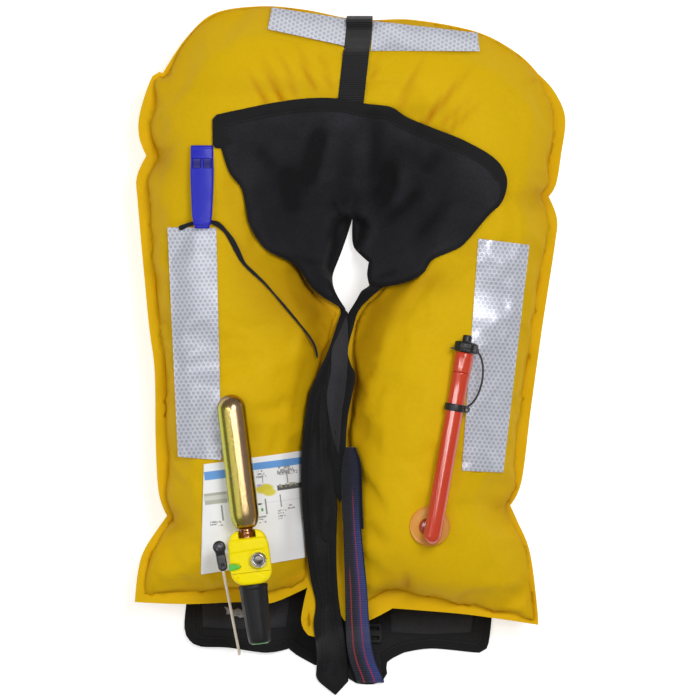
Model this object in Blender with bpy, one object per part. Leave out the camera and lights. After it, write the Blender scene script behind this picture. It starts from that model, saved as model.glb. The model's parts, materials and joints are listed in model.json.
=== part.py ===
"""An inflated horseshoe life jacket, lying on its back with its cover opened behind it.

Sizes are in millimetres and become metres where a mesh is made. Seen from above, +X is to the right
and +Y is towards the neck; +Z is up. The origin is the middle of the footprint, on the surface that
the jacket lies on. A moving piece's object has its origin on its joint's axis.
"""

import math

import bmesh
import bpy
import numpy as np
from mathutils import Matrix, Vector, geometry

MM = 0.001
GAP = 0.3

# Layers from the surface up: cover, webbing, bladder.
COVER_THICK = 2.4
WEBBING_THICK = 1.6
WEBBING_WIDTH = 25.0
WEBBING_Z = COVER_THICK + GAP
BLADDER_REST = WEBBING_Z + WEBBING_THICK + GAP

# The bladder is two sheets welded along a seam, with a flat flange outside it.
FLANGE_WIDTH = 11.0
FLANGE_THICK = 1.6
SEAM_HEIGHT = 53.0
FULLNESS = 0.80
BLADDER_PITCH = 26.0

# Soft pieces that lie on the bladder.
SKIN_GAP = 1.3
TAPE_THICK = 0.8
FABRIC_THICK = 1.6
LINING_THICK = 0.7
SAG = 0.05

# The automatic inflator. Its own axis runs from the cartridge (-U) to the cylinder (+U).
INFLATOR_CENTRE = (-95.9, -197.0)
INFLATOR_TURN = math.radians(7.0)
BODY_HALF_THICK = 14.0
PLATE_THICK = 1.5
CYLINDER_R = 13.9
NECK_R = 7.6
STEM_U = -3.0
STEM_V = 8.1
STEM_R = 4.2
NUT_R = 8.0
CARTRIDGE_R = 14.0
PIN_TRAVEL = 4.0

# The lever hangs beside the inflator's body.
LEVER_HUB = (-125.0, -187.0)
LEVER_END = (-121.8, -204.5)
LEVER_THICK = 5.0
LEVER_W = 3.0

# The oral tube.
ORAL_PIVOT = (78.9, -175.6)
ORAL_TURN = math.radians(-10.0)
ORAL_DISC = (76.5, -167.0)
TUBE_R = 8.5
TUBE_BORE_R = 5.0
MOUTH_START = 158.0
MOUTH_END = 177.3
VALVE_TRAVEL = 3.0

# The whistle lies along +Y, from its eyelet.
WHISTLE_EYELET = (-141.5, 121.8)
WHISTLE_LENGTH = 75.5
WHISTLE_THICK = 9.0

# The waist belt's lower end goes over the slider, which lies on the webbing.
BELT_LEAST_Z = 8.5

CORD_R = 1.25
PULL_LIFT = 5.2
FLAP_FOLD_Y = -246.0
FLAP_RAMP = 16.0

# Outlines in plan. A third value marks a corner; the outline is smooth at the other points.
BLADDER_OUTLINE = (
    (8, 319), (-45, 329), (-88, 332), (-131, 325), (-158, 301), (-180, 268, 1),
    (-190, 265), (-202, 230), (-203, 207), (-196, 188, 1), (-205, 168), (-204, 141),
    (-194, 31), (-188, -18), (-187, -86), (-184, -136), (-176, -158, 1), (-197, -189),
    (-204, -212), (-207, -241, 1), (-159, -243), (-106, -241), (-76, -242), (-41, -227, 1),
    (-47, -258), (-40, -273), (-31, -274, 1), (-33, -240), (-34, -120), (-30, -60),
    (-22, -20), (-15, 20), (-30, 66), (-52, 110), (-57, 136), (-47, 165), (0, 186),
    (50, 165), (60, 136), (54, 110), (30, 72), (8, 35), (-3, 0), (-9, -60), (-13, -150),
    (-12, -235), (-6, -258), (4, -262), (20, -258), (41, -247, 1), (103, -252), (142, -257),
    (181, -263, 1), (180, -245), (173, -193), (161, -163), (154, -148, 1), (165, -125),
    (174, -55), (185, 24), (197, 102), (199, 128), (191, 149, 1), (198, 160), (203, 189),
    (207, 225), (196, 251), (181, 267, 1), (162, 286), (123, 307), (60, 319),
)
COLLAR_OUTLINE = (
    (-131, 209, 1), (-127, 227, 1), (-66, 240), (-37, 242), (16, 240), (46, 230, 1), (97, 204),
    (130, 190), (146, 176), (151, 162), (133, 130), (115, 108), (82, 89), (60, 68),
    (30, 61.5, 1), (19, 65.5, 1), (16, 74), (18, 86, 1), (7, 95), (1, 107), (2, 127, 1),
    (-16, 75), (-18, 69), (-12.4, 57.6, 1), (-22, 52.6, 1), (-35, 60), (-55, 84), (-75, 94),
    (-90, 108), (-100, 140), (-114, 170), (-124, 194),
)
EDGE_LEFT_OUTLINE = (
    (-21, 51.6, 1), (-11.6, 43), (-12, 30), (-21, 1), (-31, -21), (-40, -45), (-45, -83),
    (-47, -120), (-44, -172), (-38, -218), (-33, -242), (-35, -263), (-32, -290), (-33, -312, 1),
    (-30, -319), (-14, -332, 1), (-1.5, -318.5, 1), (-4, -285), (-11, -236), (-13, -195),
    (-12, -152, 1), (-19.8, -125), (-25.8, -95), (-25.8, -50), (-22.8, -15), (-14.8, 2),
    (-4.8, 28), (-3, 38, 1), (-12, 56.6, 1),
)
EDGE_RIGHT_OUTLINE = (
    (28.5, 60.4, 1), (19, 64, 1), (11, 55.5), (-1.4, 37.5, 1), (-3.2, 28), (-13.2, 2),
    (-21.2, -15), (-24.2, -50), (-24.2, -95), (-18.2, -125), (-9.5, -146, 1), (-5.5, -128),
    (-4, -92), (-2, -63), (5, -25), (1, -13), (-2, 1), (3, 22), (11, 43),
)
COVER_LEFT_OUTLINE = (
    (-158, -242, 1), (-160, -267), (-155, -279), (-144, -285), (-118, -286), (-81, -291),
    (-59, -287, 1), (-52, -293), (-34, -303, 1), (-11.4, -303, 1), (-13, -150), (-14, 20),
    (-24, 45), (-27, 100), (-45, 150), (-45, 179.7, 1), (-165, 179.7, 1), (-170, 120),
    (-165, 0), (-165, -150),
)
COVER_RIGHT_OUTLINE = (
    (-10.6, -303, 1), (-0.8, -303, 1), (-0.8, -317, 1), (34, -317, 1), (36, -300),
    (52, -291, 1), (79, -287), (125, -291), (132, -287), (135, -275), (137, -256, 1),
    (146, -150), (160, 0), (165, 120), (165, 179.7, 1), (50, 179.7, 1), (50, 150), (28, 100),
    (26, 45), (-8, 20), (-11, -150),
)
COVER_NECK_OUTLINE = (
    (-165, 180, 1), (-50, 180, 1), (-30, 197), (0, 203), (30, 197), (50, 180, 1),
    (165, 180, 1), (166, 225), (140, 265), (60, 298), (-60, 304), (-140, 272), (-166, 225),
)
LABEL_CORNERS = ((-140, -108), (-143, -214), (-48.5, -199), (-48.5, -96))
TAPES = {
    "tape_left": ((-175, 119), (-165, -101), (-123, -104), (-128, 118)),
    "tape_right": ((123, 108), (107, -114), (147, -116), (172, 102)),
    "tape_top_left": ((-75, 326), (-79, 306), (-8.5, 290), (-6.5, 315)),
    "tape_top_right": ((22, 314), (20, 286), (124, 285), (123, 303)),
}
BELT_OUTLINE = (
    (-4, -95, 1), (-7, -125), (-8, -149), (-6, -191), (-6, -239), (-5, -277), (-1, -301),
    (5, -317, 1), (33, -316, 1), (25, -305), (20, -285), (18, -239), (13, -191), (11, -152),
    (11, -120), (5, -99, 1),
)
LANYARD_ROUTE = (
    (-131.0, 123.4), (-126.0, 121.4), (-120.0, 115.8), (-113.5, 107.0), (-108.0, 96.5),
    (-101.5, 84.5), (-91.5, 74.5), (-81.5, 65.0), (-70.0, 52.0), (-58.5, 38.5),
    (-46.0, 23.5), (-37.5, 12.0), (-33.0, 3.0), (-31.3, -6.0),
)
# The pull cord goes round the flap's edge here, and back under the flap to its handle.
FLAP_EDGE_Y = -292.2
PULL_CORD_X = -107.0
PULL_CORD_END_Y = -283.5


# ---------------------------------------------------------------- the plan as a grid of heights

CELL = 4.0
HALF_WIDE = 224.0
HALF_LONG = 348.0
AXIS_X = np.arange(-HALF_WIDE, HALF_WIDE + CELL / 2, CELL)
AXIS_Y = np.arange(-HALF_LONG, HALF_LONG + CELL / 2, CELL)
GRID = np.stack(np.meshgrid(AXIS_X, AXIS_Y), axis=-1)


def smooth_outline(points, step):
    """The outline as points about step apart, on a curve that keeps the marked corners."""
    place = [np.array(p[:2], float) for p in points]
    corner = [len(p) > 2 for p in points]
    count = len(place)
    tangent = []
    for i in range(count):
        chord = place[(i + 1) % count] - place[i - 1]
        tangent.append(chord * (0.0 if corner[i] else 0.5))
    out = []
    for i in range(count):
        a, b = place[i], place[(i + 1) % count]
        steps = max(1, round(float(np.linalg.norm(b - a)) / step))
        for k in range(steps):
            t = k / steps
            out.append(
                a * (2 * t**3 - 3 * t**2 + 1)
                + tangent[i] * (t**3 - 2 * t**2 + t)
                + b * (3 * t**2 - 2 * t**3)
                + tangent[(i + 1) % count] * (t**3 - t**2)
            )
    return np.array(out)


def signed_distance(points, outline):
    """How far each point is inside the closed outline; negative outside it."""
    flat = points.reshape(-1, 2)
    best = np.full(len(flat), np.inf)
    inside = np.zeros(len(flat), bool)
    for a, b in zip(outline, np.roll(outline, -1, axis=0)):
        along = b - a
        share = np.clip((flat - a) @ along / max(along @ along, 1e-9), 0, 1)
        best = np.minimum(best, np.linalg.norm(flat - a - share[:, None] * along, axis=1))
        rises = (a[1] > flat[:, 1]) != (b[1] > flat[:, 1])
        with np.errstate(divide="ignore", invalid="ignore"):
            cross = (b[0] - a[0]) * (flat[:, 1] - a[1]) / (b[1] - a[1]) + a[0]
        inside ^= rises & (flat[:, 0] < cross)
    return np.where(inside, best, -best).reshape(points.shape[:-1])


def swell(mask, rounds=2600):
    """The shape of a membrane blown up over the mask: its square root makes round lobes."""
    rise = np.zeros(mask.shape)
    for _ in range(rounds):
        middle = (rise[:-2, 1:-1] + rise[2:, 1:-1] + rise[1:-1, :-2] + rise[1:-1, 2:]) / 4
        rise[1:-1, 1:-1] = np.where(mask[1:-1, 1:-1], middle + CELL**2 / 4, 0)
    return rise


def spread_max(heights, reach):
    """Each cell gets the highest value within reach of it."""
    span = int(reach // CELL)
    padded = np.pad(heights, span, mode="edge")
    rows, columns = heights.shape
    best = heights.copy()
    for i in range(-span, span + 1):
        for j in range(-span, span + 1):
            if math.hypot(i, j) * CELL <= reach:
                moved = padded[span + i : span + i + rows, span + j : span + j + columns]
                best = np.maximum(best, moved)
    return best


def drape(obstacle, rounds=2600):
    """A cloth that lies over the obstacle and sags where nothing carries it."""
    cloth = obstacle.copy()
    for _ in range(rounds):
        middle = (cloth[:-2, 1:-1] + cloth[2:, 1:-1] + cloth[1:-1, :-2] + cloth[1:-1, 2:]) / 4
        cloth[1:-1, 1:-1] = np.maximum(obstacle[1:-1, 1:-1], middle - SAG * CELL**2 / 4)
    return cloth


def sample(grid, points):
    """The grid's value at each point of the plan."""
    points = np.asarray(points, float).reshape(-1, 2)
    column = np.clip((points[:, 0] + HALF_WIDE) / CELL, 0, len(AXIS_X) - 1.001)
    row = np.clip((points[:, 1] + HALF_LONG) / CELL, 0, len(AXIS_Y) - 1.001)
    c, r = column.astype(int), row.astype(int)
    u, v = column - c, row - r
    low = grid[r, c] * (1 - u) + grid[r, c + 1] * u
    high = grid[r + 1, c] * (1 - u) + grid[r + 1, c + 1] * u
    return low * (1 - v) + high * v


BLADDER_EDGE = smooth_outline(BLADDER_OUTLINE, 18.0)
INSIDE = signed_distance(GRID, BLADDER_EDGE)
RISE = swell(INSIDE > FLANGE_WIDTH)


def half_thick(points):
    return FULLNESS * np.sqrt(2 * np.maximum(sample(RISE, points), 0))


def bladder_top(points):
    return SEAM_HEIGHT + FLANGE_THICK / 2 + half_thick(points)


def bladder_bottom(points):
    return np.maximum(BLADDER_REST, SEAM_HEIGHT - FLANGE_THICK / 2 - half_thick(points))


CREST = np.where(INSIDE > -2, bladder_top(GRID).reshape(INSIDE.shape), COVER_THICK)
SKIN = spread_max(CREST, 8.5)
DRAPE = drape(SKIN)


def skin(points):
    """The height that clears the bladder all round a point of the plan."""
    return sample(SKIN, points) + SKIN_GAP


def draped(points):
    return sample(DRAPE, points) + SKIN_GAP


def highest_under(points, reach):
    """The highest that the bladder stands within reach of these points."""
    gap = np.linalg.norm(GRID[:, :, None, :] - np.asarray(points, float), axis=-1).min(axis=2)
    return float(CREST[gap < reach + CELL].max())


def line_from(start, turn, steps):
    """Points of the plan along a line that leaves start at this turn from +Y."""
    return [(start[0] - math.sin(turn) * d, start[1] + math.cos(turn) * d) for d in steps]


# What lies on the bladder rests on the highest of it.
INFLATOR_LINE = line_from(INFLATOR_CENTRE, INFLATOR_TURN, range(-20, 150, 10))
INFLATOR_Z = highest_under(INFLATOR_LINE, 3.0) + CYLINDER_R + 0.8
ORAL_LINE = line_from(ORAL_PIVOT, ORAL_TURN, range(0, 190, 10))
ORAL_Z = highest_under(ORAL_LINE, 3.0) + SKIN_GAP + TAPE_THICK + 11.0


# ---------------------------------------------------------------- making objects


def material(name, colour, roughness, metallic=0.0):
    made = bpy.data.materials.get(name) or bpy.data.materials.new(name)
    made.use_nodes = True
    shader = made.node_tree.nodes["Principled BSDF"]
    shader.inputs["Base Color"].default_value = (*colour, 1)
    shader.inputs["Roughness"].default_value = roughness
    shader.inputs["Metallic"].default_value = metallic
    made.diffuse_color = (*colour, 1)
    return made


def mesh_object(name, mesh, look, place=None, sharp=35):
    """An object of a bmesh in millimetres, given in its own axes; place puts them in the world."""
    bmesh.ops.recalc_face_normals(mesh, faces=mesh.faces)
    bmesh.ops.scale(mesh, vec=(MM, MM, MM), verts=mesh.verts)
    data = bpy.data.meshes.new(name)
    mesh.to_mesh(data)
    mesh.free()
    data.shade_smooth()
    data.set_sharp_from_angle(angle=math.radians(sharp))
    data.materials.append(look)
    made = bpy.data.objects.new(name, data)
    bpy.context.scene.collection.objects.link(made)
    if place is not None:
        made.matrix_world = metres(place)
    return made


def metres(place):
    """The same placing, with its distance in metres."""
    moved = place.copy()
    moved.translation = place.translation * MM
    return moved


def inner_points(outline, pitch):
    """A staggered grid of points that keep clear of the outline."""
    low, high = outline.min(axis=0), outline.max(axis=0)
    found = []
    rows = int((high[1] - low[1]) / (pitch * 0.87)) + 1
    for row in range(rows):
        y = low[1] + pitch * 0.87 * (row + 0.5)
        start = low[0] + pitch * (0.25 if row % 2 else 0.75)
        found += [(x, y) for x in np.arange(start, high[0], pitch)]
    found = np.array(found).reshape(-1, 2)
    return found[signed_distance(found, outline) > pitch * 0.55]


def plate(name, outline, low, high, look, pitch=None, extra=()):
    """One closed solid over an outline, between two heights that may vary over the plan."""
    points = [tuple(p) for p in outline]
    if pitch:
        points += [tuple(p) for p in inner_points(np.asarray(outline), pitch)]
    points += [tuple(p) for p in extra]
    rim = len(outline)
    edges = [(i, (i + 1) % rim) for i in range(rim)]
    flat, _, faces, *_ = geometry.delaunay_2d_cdt(
        [Vector(p) for p in points], edges, [], 1, 1e-6
    )
    flat = np.array([tuple(p) for p in flat])
    tops = high(flat) if callable(high) else np.full(len(flat), float(high))
    bottoms = low(flat) if callable(low) else np.full(len(flat), float(low))
    mesh = bmesh.new()
    above = [mesh.verts.new((x, y, z)) for (x, y), z in zip(flat, tops)]
    below = [mesh.verts.new((x, y, z)) for (x, y), z in zip(flat, bottoms)]
    for face in faces:
        mesh.faces.new([above[i] for i in face])
        mesh.faces.new([below[i] for i in reversed(face)])
    sides = {}
    for face in faces:
        for a, b in zip(face, face[1:] + face[:1]):
            sides[(a, b)] = True
    for a, b in sides:
        if (b, a) not in sides:
            mesh.faces.new([above[b], above[a], below[a], below[b]])
    loose = [v for v in mesh.verts if not v.link_faces]
    bmesh.ops.delete(mesh, geom=loose, context="VERTS")
    return mesh_object(name, mesh, look)


def prism(name, outline, low, high, look, place=None, bevel=0.0):
    """A straight solid over an outline in its own XY plane, with its long edges bevelled."""
    mesh = bmesh.new()
    face = mesh.faces.new([mesh.verts.new((x, y, low)) for x, y in outline])
    pushed = bmesh.ops.extrude_face_region(mesh, geom=[face])
    moved = [v for v in pushed["geom"] if isinstance(v, bmesh.types.BMVert)]
    bmesh.ops.translate(mesh, vec=(0, 0, high - low), verts=moved)
    made = mesh_object(name, mesh, look, place)
    if bevel:
        add_bevel(made, bevel)
    return made


def add_bevel(made, width, segments=2):
    modifier = made.modifiers.new("rounded", "BEVEL")
    modifier.width = width * MM
    modifier.segments = segments
    modifier.limit_method = "ANGLE"
    modifier.angle_limit = math.radians(50)


def turned(name, profile, look, place=None, sides=24):
    """A solid turned about its own +Z from a closed profile of (radius, height) points."""
    mesh = bmesh.new()
    rings = []
    for radius, height in profile:
        if radius < 1e-6:
            rings.append([mesh.verts.new((0, 0, height))] * sides)
            continue
        turns = [2 * math.pi * k / sides for k in range(sides)]
        rings.append(
            [mesh.verts.new((radius * math.cos(a), radius * math.sin(a), height)) for a in turns]
        )
    for i, ring in enumerate(rings):
        after = rings[(i + 1) % len(rings)]
        if ring[0] is ring[1] and after[0] is after[1]:
            continue
        for k in range(sides):
            j = (k + 1) % sides
            corners = [ring[k], ring[j], after[j], after[k]]
            unique = [v for n, v in enumerate(corners) if v not in corners[:n]]
            mesh.faces.new(unique)
    return mesh_object(name, mesh, look, place)


def cut(made, cutter):
    """Takes the cutter out of the object. The cutter stays as a hidden helper."""
    cutter.hide_render = True
    cutter.display_type = "WIRE"
    modifier = made.modifiers.new("cut_" + cutter.name, "BOOLEAN")
    modifier.operation = "DIFFERENCE"
    modifier.object = cutter


def smooth_route(points, spacing):
    """Points about spacing apart on a curve through the route's own points."""
    route = np.array(points, float)
    padded = np.vstack([2 * route[0] - route[1], route, 2 * route[-1] - route[-2]])
    fine = []
    for i in range(1, len(padded) - 2):
        a, b, c, d = padded[i - 1 : i + 3]
        for t in np.linspace(0, 1, 24, endpoint=False):
            fine.append(
                0.5 * (2 * b + (c - a) * t + (2 * a - 5 * b + 4 * c - d) * t**2
                       + (3 * b - a - 3 * c + d) * t**3)
            )
    fine = np.array([*fine, route[-1]])
    along = np.concatenate([[0], np.cumsum(np.linalg.norm(np.diff(fine, axis=0), axis=1))])
    count = max(2, math.ceil(along[-1] / spacing) + 1)
    at = np.linspace(0, along[-1], count)
    return np.stack([np.interp(at, along, fine[:, k]) for k in range(3)], axis=1)


def tube(name, points, radius, look, resolution=2):
    """A round cord along these points, with closed ends."""
    data = bpy.data.curves.new(name, "CURVE")
    data.dimensions = "3D"
    data.bevel_depth = radius * MM
    data.bevel_resolution = resolution
    data.use_fill_caps = True
    spline = data.splines.new("POLY")
    spline.points.add(len(points) - 1)
    for slot, point in zip(spline.points, points):
        slot.co = (*(float(x) * MM for x in point), 1)
    data.materials.append(look)
    made = bpy.data.objects.new(name, data)
    bpy.context.scene.collection.objects.link(made)
    return made


def rounded_box(width, length, radius, steps=3):
    """The outline of a rectangle with round corners, about the origin."""
    out = []
    corners = ((1, 1, 0), (-1, 1, 90), (-1, -1, 180), (1, -1, 270))
    for sx, sy, start in corners:
        for k in range(steps + 1):
            angle = math.radians(start + 90 * k / steps)
            x = sx * (width / 2 - radius) + radius * math.cos(angle)
            y = sy * (length / 2 - radius) + radius * math.sin(angle)
            out.append((x, y))
    return out


def box_mesh(low, high):
    mesh = bmesh.new()
    bmesh.ops.create_cube(mesh, size=1)
    low, high = Vector(low), Vector(high)
    bmesh.ops.scale(mesh, vec=high - low, verts=mesh.verts)
    bmesh.ops.translate(mesh, vec=(low + high) / 2, verts=mesh.verts)
    return mesh


# ---------------------------------------------------------------- bladder and what lies on it


def build_bladder():
    yellow = material("bladder_nylon", (0.78, 0.50, 0.01), 0.5)
    rings = []
    for inset, step in ((FLANGE_WIDTH + 0.5, 18.0), (FLANGE_WIDTH + 6, 22.0), (34.0, 27.0)):
        edge = smooth_outline(BLADDER_OUTLINE, step)
        side = np.roll(edge, -1, axis=0) - np.roll(edge, 1, axis=0)
        normal = np.stack([-side[:, 1], side[:, 0]], axis=1)
        normal /= np.linalg.norm(normal, axis=1)[:, None]
        ring = edge + normal * inset
        rings.append(ring[signed_distance(ring, BLADDER_EDGE) > inset - 1.5])
    grid = inner_points(BLADDER_EDGE, BLADDER_PITCH)
    grid = grid[signed_distance(grid, BLADDER_EDGE) > 34.0 + BLADDER_PITCH * 0.5]
    extra = np.vstack([*rings, grid])
    keep = []
    for point in extra:
        if all((point[0] - x) ** 2 + (point[1] - y) ** 2 > 60 for x, y in keep):
            keep.append(tuple(point))
    plate("bladder", BLADDER_EDGE, bladder_bottom, bladder_top, yellow, extra=keep)


def sloped_patch(name, outline, base, thick, look, pitch):
    """A thin skin over the outline that starts at the height base(points)."""
    plate(name, outline, base, lambda p: base(p) + thick, look, pitch=pitch)


def build_tapes():
    silver = material("reflective_tape", (0.62, 0.65, 0.70), 0.3, 0.3)
    for name, corners in TAPES.items():
        outline = smooth_outline([(*p, 1) for p in corners], 16.0)
        sloped_patch(name, outline, skin, TAPE_THICK, silver, 17.0)


def build_label():
    """The label has a notch in its lower edge, where the inflator's manifold comes through."""
    white = material("label_film", (0.86, 0.87, 0.88), 0.45)
    stem = inflator_point(STEM_U, STEM_V)
    a, b, c, d = LABEL_CORNERS
    radius = 13.5
    foot = stem.y - 3.2
    notch = [(stem.x - radius, foot)]
    for k in range(7):
        angle = math.pi - math.pi * k / 6
        notch.append((stem.x + radius * math.cos(angle), stem.y + 1 + radius * math.sin(angle)))
    notch.append((stem.x + radius, foot + 2.5))
    corners = [a, b, *notch, c, d]
    outline = smooth_outline([(*p, 1) for p in corners], 13.0)
    sloped_patch("care_label", outline, skin, TAPE_THICK, white, 16.0)


# ---------------------------------------------------------------- cover


def flap_lift(points):
    """The left bottom flap rises off the surface, over the pull handle tucked under it."""
    points = np.asarray(points, float).reshape(-1, 2)
    down = np.clip((FLAP_FOLD_Y - points[:, 1]) / FLAP_RAMP, 0, 1)
    left = np.clip((-58.0 - points[:, 0]) / 22.0, 0, 1)
    return PULL_LIFT * down**2 * (3 - 2 * down) * left**2 * (3 - 2 * left)


def flap_points(outline):
    """Rows of points that follow the flap's ramp, so that what lies on it has the same slope."""
    rows = [FLAP_FOLD_Y - FLAP_RAMP * k / 5 for k in range(6)] + [FLAP_FOLD_Y - 1.7 * FLAP_RAMP]
    columns = [-56.0, -61.0, -66.0, -71.0, -76.0, -82.0, -95.0, -108.0, -121.0, -134.0, -146.0]
    found = np.array([(x, y) for y in rows for x in columns])
    return found[signed_distance(found, np.asarray(outline)) > 2.5]


def build_cover():
    black = material("cover_fabric", (0.012, 0.012, 0.014), 0.8)
    left = smooth_outline(COVER_LEFT_OUTLINE, 15.0)
    plate("cover_back_left", left, flap_lift, lambda p: flap_lift(p) + COVER_THICK, black,
          extra=flap_points(left))
    plate("cover_back_right", smooth_outline(COVER_RIGHT_OUTLINE, 22.0), 0, COVER_THICK, black)
    plate("cover_back_neck", smooth_outline(COVER_NECK_OUTLINE, 22.0), 0, COVER_THICK, black)


def flap_layer(name, corners, step, lift, thick, look):
    """A thin layer on the left bottom flap, lift above its fabric."""
    outline = smooth_outline([(*p, 1) for p in corners], step)
    low = COVER_THICK + lift
    plate(name, outline, lambda p: flap_lift(p) + low, lambda p: flap_lift(p) + low + thick, look,
          extra=flap_points(outline))


def build_linings():
    """Thin lining panels on the bottom flaps, and the strip that closes the cover."""
    lining = material("lining_fabric", (0.035, 0.035, 0.045), 0.7)
    grey = material("hook_strip", (0.30, 0.30, 0.31), 0.95)
    left = ((-141, -236), (-141, -266), (-62, -267), (-58, -236))
    flap_layer("flap_lining_left", left, 7.0, 1.1, LINING_THICK, lining)
    strip = ((-119.5, -247), (-119.5, -256.5), (-100, -256.5), (-100, -247))
    flap_layer("hook_and_loop_strip", strip, 4.0, 2.6, 1.2, grey)
    right = ((38, -240), (40, -271), (117, -271), (121, -240))
    low = COVER_THICK + GAP
    plate("flap_lining_right", [Vector(p) for p in right], low, low + LINING_THICK, lining)


def build_collar():
    black = material("cover_fabric", (0.012, 0.012, 0.014), 0.8)
    outline = smooth_outline(COLLAR_OUTLINE, 14.0)
    sloped_patch("collar", outline, draped, FABRIC_THICK, black, 17.0)


def over_edges(points):
    """The height of what lies on the cover's closing edges."""
    return draped(points) + FABRIC_THICK + 2.2


def build_edges():
    """The two closing edges of the cover, which stand up between the lobes."""
    black = material("cover_fabric", (0.012, 0.012, 0.014), 0.8)
    left = smooth_outline(EDGE_LEFT_OUTLINE, 12.0)
    sloped_patch("cover_edge_left", left, draped, FABRIC_THICK, black, 12.0)
    right = smooth_outline(EDGE_RIGHT_OUTLINE, 12.0)
    sloped_patch("cover_edge_right", right, draped, FABRIC_THICK, black, 12.0)
    lining = material("lining_fabric", (0.035, 0.035, 0.045), 0.7)
    panel = ((-9, -18), (-20, -18), (-21, -92), (-8, -92), (-6, -50))
    outline = smooth_outline([(*p, 1) for p in panel], 10.0)
    sloped_patch("edge_lining", outline, over_edges, LINING_THICK, lining, 9.0)


# ---------------------------------------------------------------- harness


def ribbon(name, route, look, width=WEBBING_WIDTH, thick=WEBBING_THICK, across=(1, 0, 0)):
    """A flat strip along a route, with its width along one direction all the way."""
    route = [Vector(p) for p in route]
    wide = Vector(across).normalized() * width / 2
    mesh = bmesh.new()
    rings = []
    for i, point in enumerate(route):
        ahead = route[min(i + 1, len(route) - 1)] - route[max(i - 1, 0)]
        up = ahead.normalized().cross(wide.normalized()).normalized() * thick / 2
        corners = (point - wide - up, point + wide - up, point + wide + up, point - wide + up)
        rings.append([mesh.verts.new(c) for c in corners])
    for before, after in zip(rings, rings[1:]):
        for k in range(4):
            j = (k + 1) % 4
            mesh.faces.new([before[k], before[j], after[j], after[k]])
    mesh.faces.new(rings[0][::-1])
    mesh.faces.new(rings[-1])
    return mesh_object(name, mesh, look)


def flat_strip(name, start, end, low, look, width=WEBBING_WIDTH):
    """A straight piece of webbing that lies flat, from start to end in plan."""
    a, b = Vector((*start, low + WEBBING_THICK / 2)), Vector((*end, low + WEBBING_THICK / 2))
    across = (b - a).cross(Vector((0, 0, 1)))
    return ribbon(name, (a, b), look, width=width, across=across)


def belt_height(points):
    """The waist belt lies on the cover's edges, and stays above the slider at its lower end."""
    return np.maximum(over_edges(points), BELT_LEAST_Z)


def build_harness():
    webbing = material("black_webbing", (0.015, 0.015, 0.018), 0.75)
    navy = material("belt_webbing", (0.02, 0.03, 0.10), 0.75)
    middle = WEBBING_Z + WEBBING_THICK / 2
    strap_x = 6.5
    front = [(-1.5 + 11 * (y - 243.5) / 75, y) for y in (243.5, 252, 262, 273, 284, 294, 303, 311)]
    heights = [float(skin([p])[0]) + WEBBING_THICK / 2 + 1.0 for p in front]
    route = [(x, y, z) for (x, y), z in zip(front, heights)]
    over = ((8.5, 318, 68), (9.2, 322.5, 58), (9.4, 324.2, 46), (9.4, 323.4, 30), (9.4, 320.5, 14),
            (9.4, 316.5, 6.4), (9.4, 309, middle), (9.4, 262, middle))
    ribbon("neck_strap", [*route, *over], webbing)
    flat_strip("back_strap", (strap_x + 3.5, 259), (74, -90), WEBBING_Z, webbing)
    flat_strip("waist_belt_back", (-118, -105), (118, -105), WEBBING_Z, navy)
    rise_top = float(sample(DRAPE, [(-20, -105)])[0]) - 6
    ribbon("waist_belt_rise", ((-22.5, -105, 5.2), (-22.5, -105, rise_top)), navy, across=(0, 1, 0))
    outline = smooth_outline(BELT_OUTLINE, 12.0)
    sloped_patch("waist_belt_front", outline, belt_height, WEBBING_THICK, navy, 11.0)
    flat_strip("waist_belt_return", (19, -316), (4, -180), WEBBING_Z, navy)
    flat_strip("waist_belt_tab", (-12, -149.6), (-12, -118), WEBBING_Z, navy)


def fork_outline():
    """The male half of the buckle in plan: a block with two prongs and a middle tongue."""
    half = [(0, 22), (2.5, 22), (3.5, 4), (8.5, 4), (9.5, 18), (8.5, 25), (10.5, 27), (13.5, 20),
            (13, 4), (16, 0), (16, -16)]
    return half + [(-x, y) for x, y in reversed(half[1:])]


def build_buckle():
    black = material("buckle_plastic", (0.02, 0.02, 0.022), 0.45)
    low = BLADDER_REST
    centre = Matrix.Translation((-12.0, -178.0, low))
    outer = rounded_box(34, 40, 4)
    female = prism("buckle_female", outer, 0, 11, black, centre, bevel=0.8)
    female.matrix_world = metres(centre @ Matrix.Translation((0, 8, 0)))
    socket = mesh_object("socket_cutter", box_mesh((-14.5, -21, 2.2), (14.5, 18, 8.8)), black,
                         centre @ Matrix.Translation((0, 8, 0)))
    cut(female, socket)
    male = prism("buckle_male", fork_outline(), 3.0, 8.0, black,
                 centre @ Matrix.Translation((0, -16.5, 0)), bevel=0.5)
    slot = mesh_object("bar_cutter", box_mesh((-13, -12, 0), (13, -7, 12)), black,
                       centre @ Matrix.Translation((0, -16.5, 0)))
    cut(male, slot)
    navy = material("belt_webbing", (0.02, 0.03, 0.10), 0.75)
    ribbon("belt_loop", ((-12, -211.0, low + 5.5), (-12, -250, low + 5.5)), navy, width=24)
    slider = prism("belt_slider", rounded_box(31, 19, 3), 0, 3, black,
                   Matrix.Translation((15.5, -272, WEBBING_Z + WEBBING_THICK + GAP)), bevel=0.6)
    for y in (-4.6, 4.6):
        cutter = mesh_object(f"slider_cutter_{y:+.0f}", box_mesh((-12.8, y - 1.9, -2), (12.8, y + 1.9, 5)),
                             black, Matrix.Translation((15.5, -272, WEBBING_Z + WEBBING_THICK + GAP)))
        cut(slider, cutter)


# ---------------------------------------------------------------- inflator


def inflator_frame():
    """The inflator's axes in the world: its own X is V, its own Y is U, and its own Z is up."""
    turn = Matrix.Rotation(INFLATOR_TURN, 4, "Z")
    return Matrix.Translation((*INFLATOR_CENTRE, INFLATOR_Z)) @ turn


def inflator_point(u, v, w=0.0):
    """A point of the world, from the inflator's own distances."""
    return inflator_frame() @ Vector((v, u, w))


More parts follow.
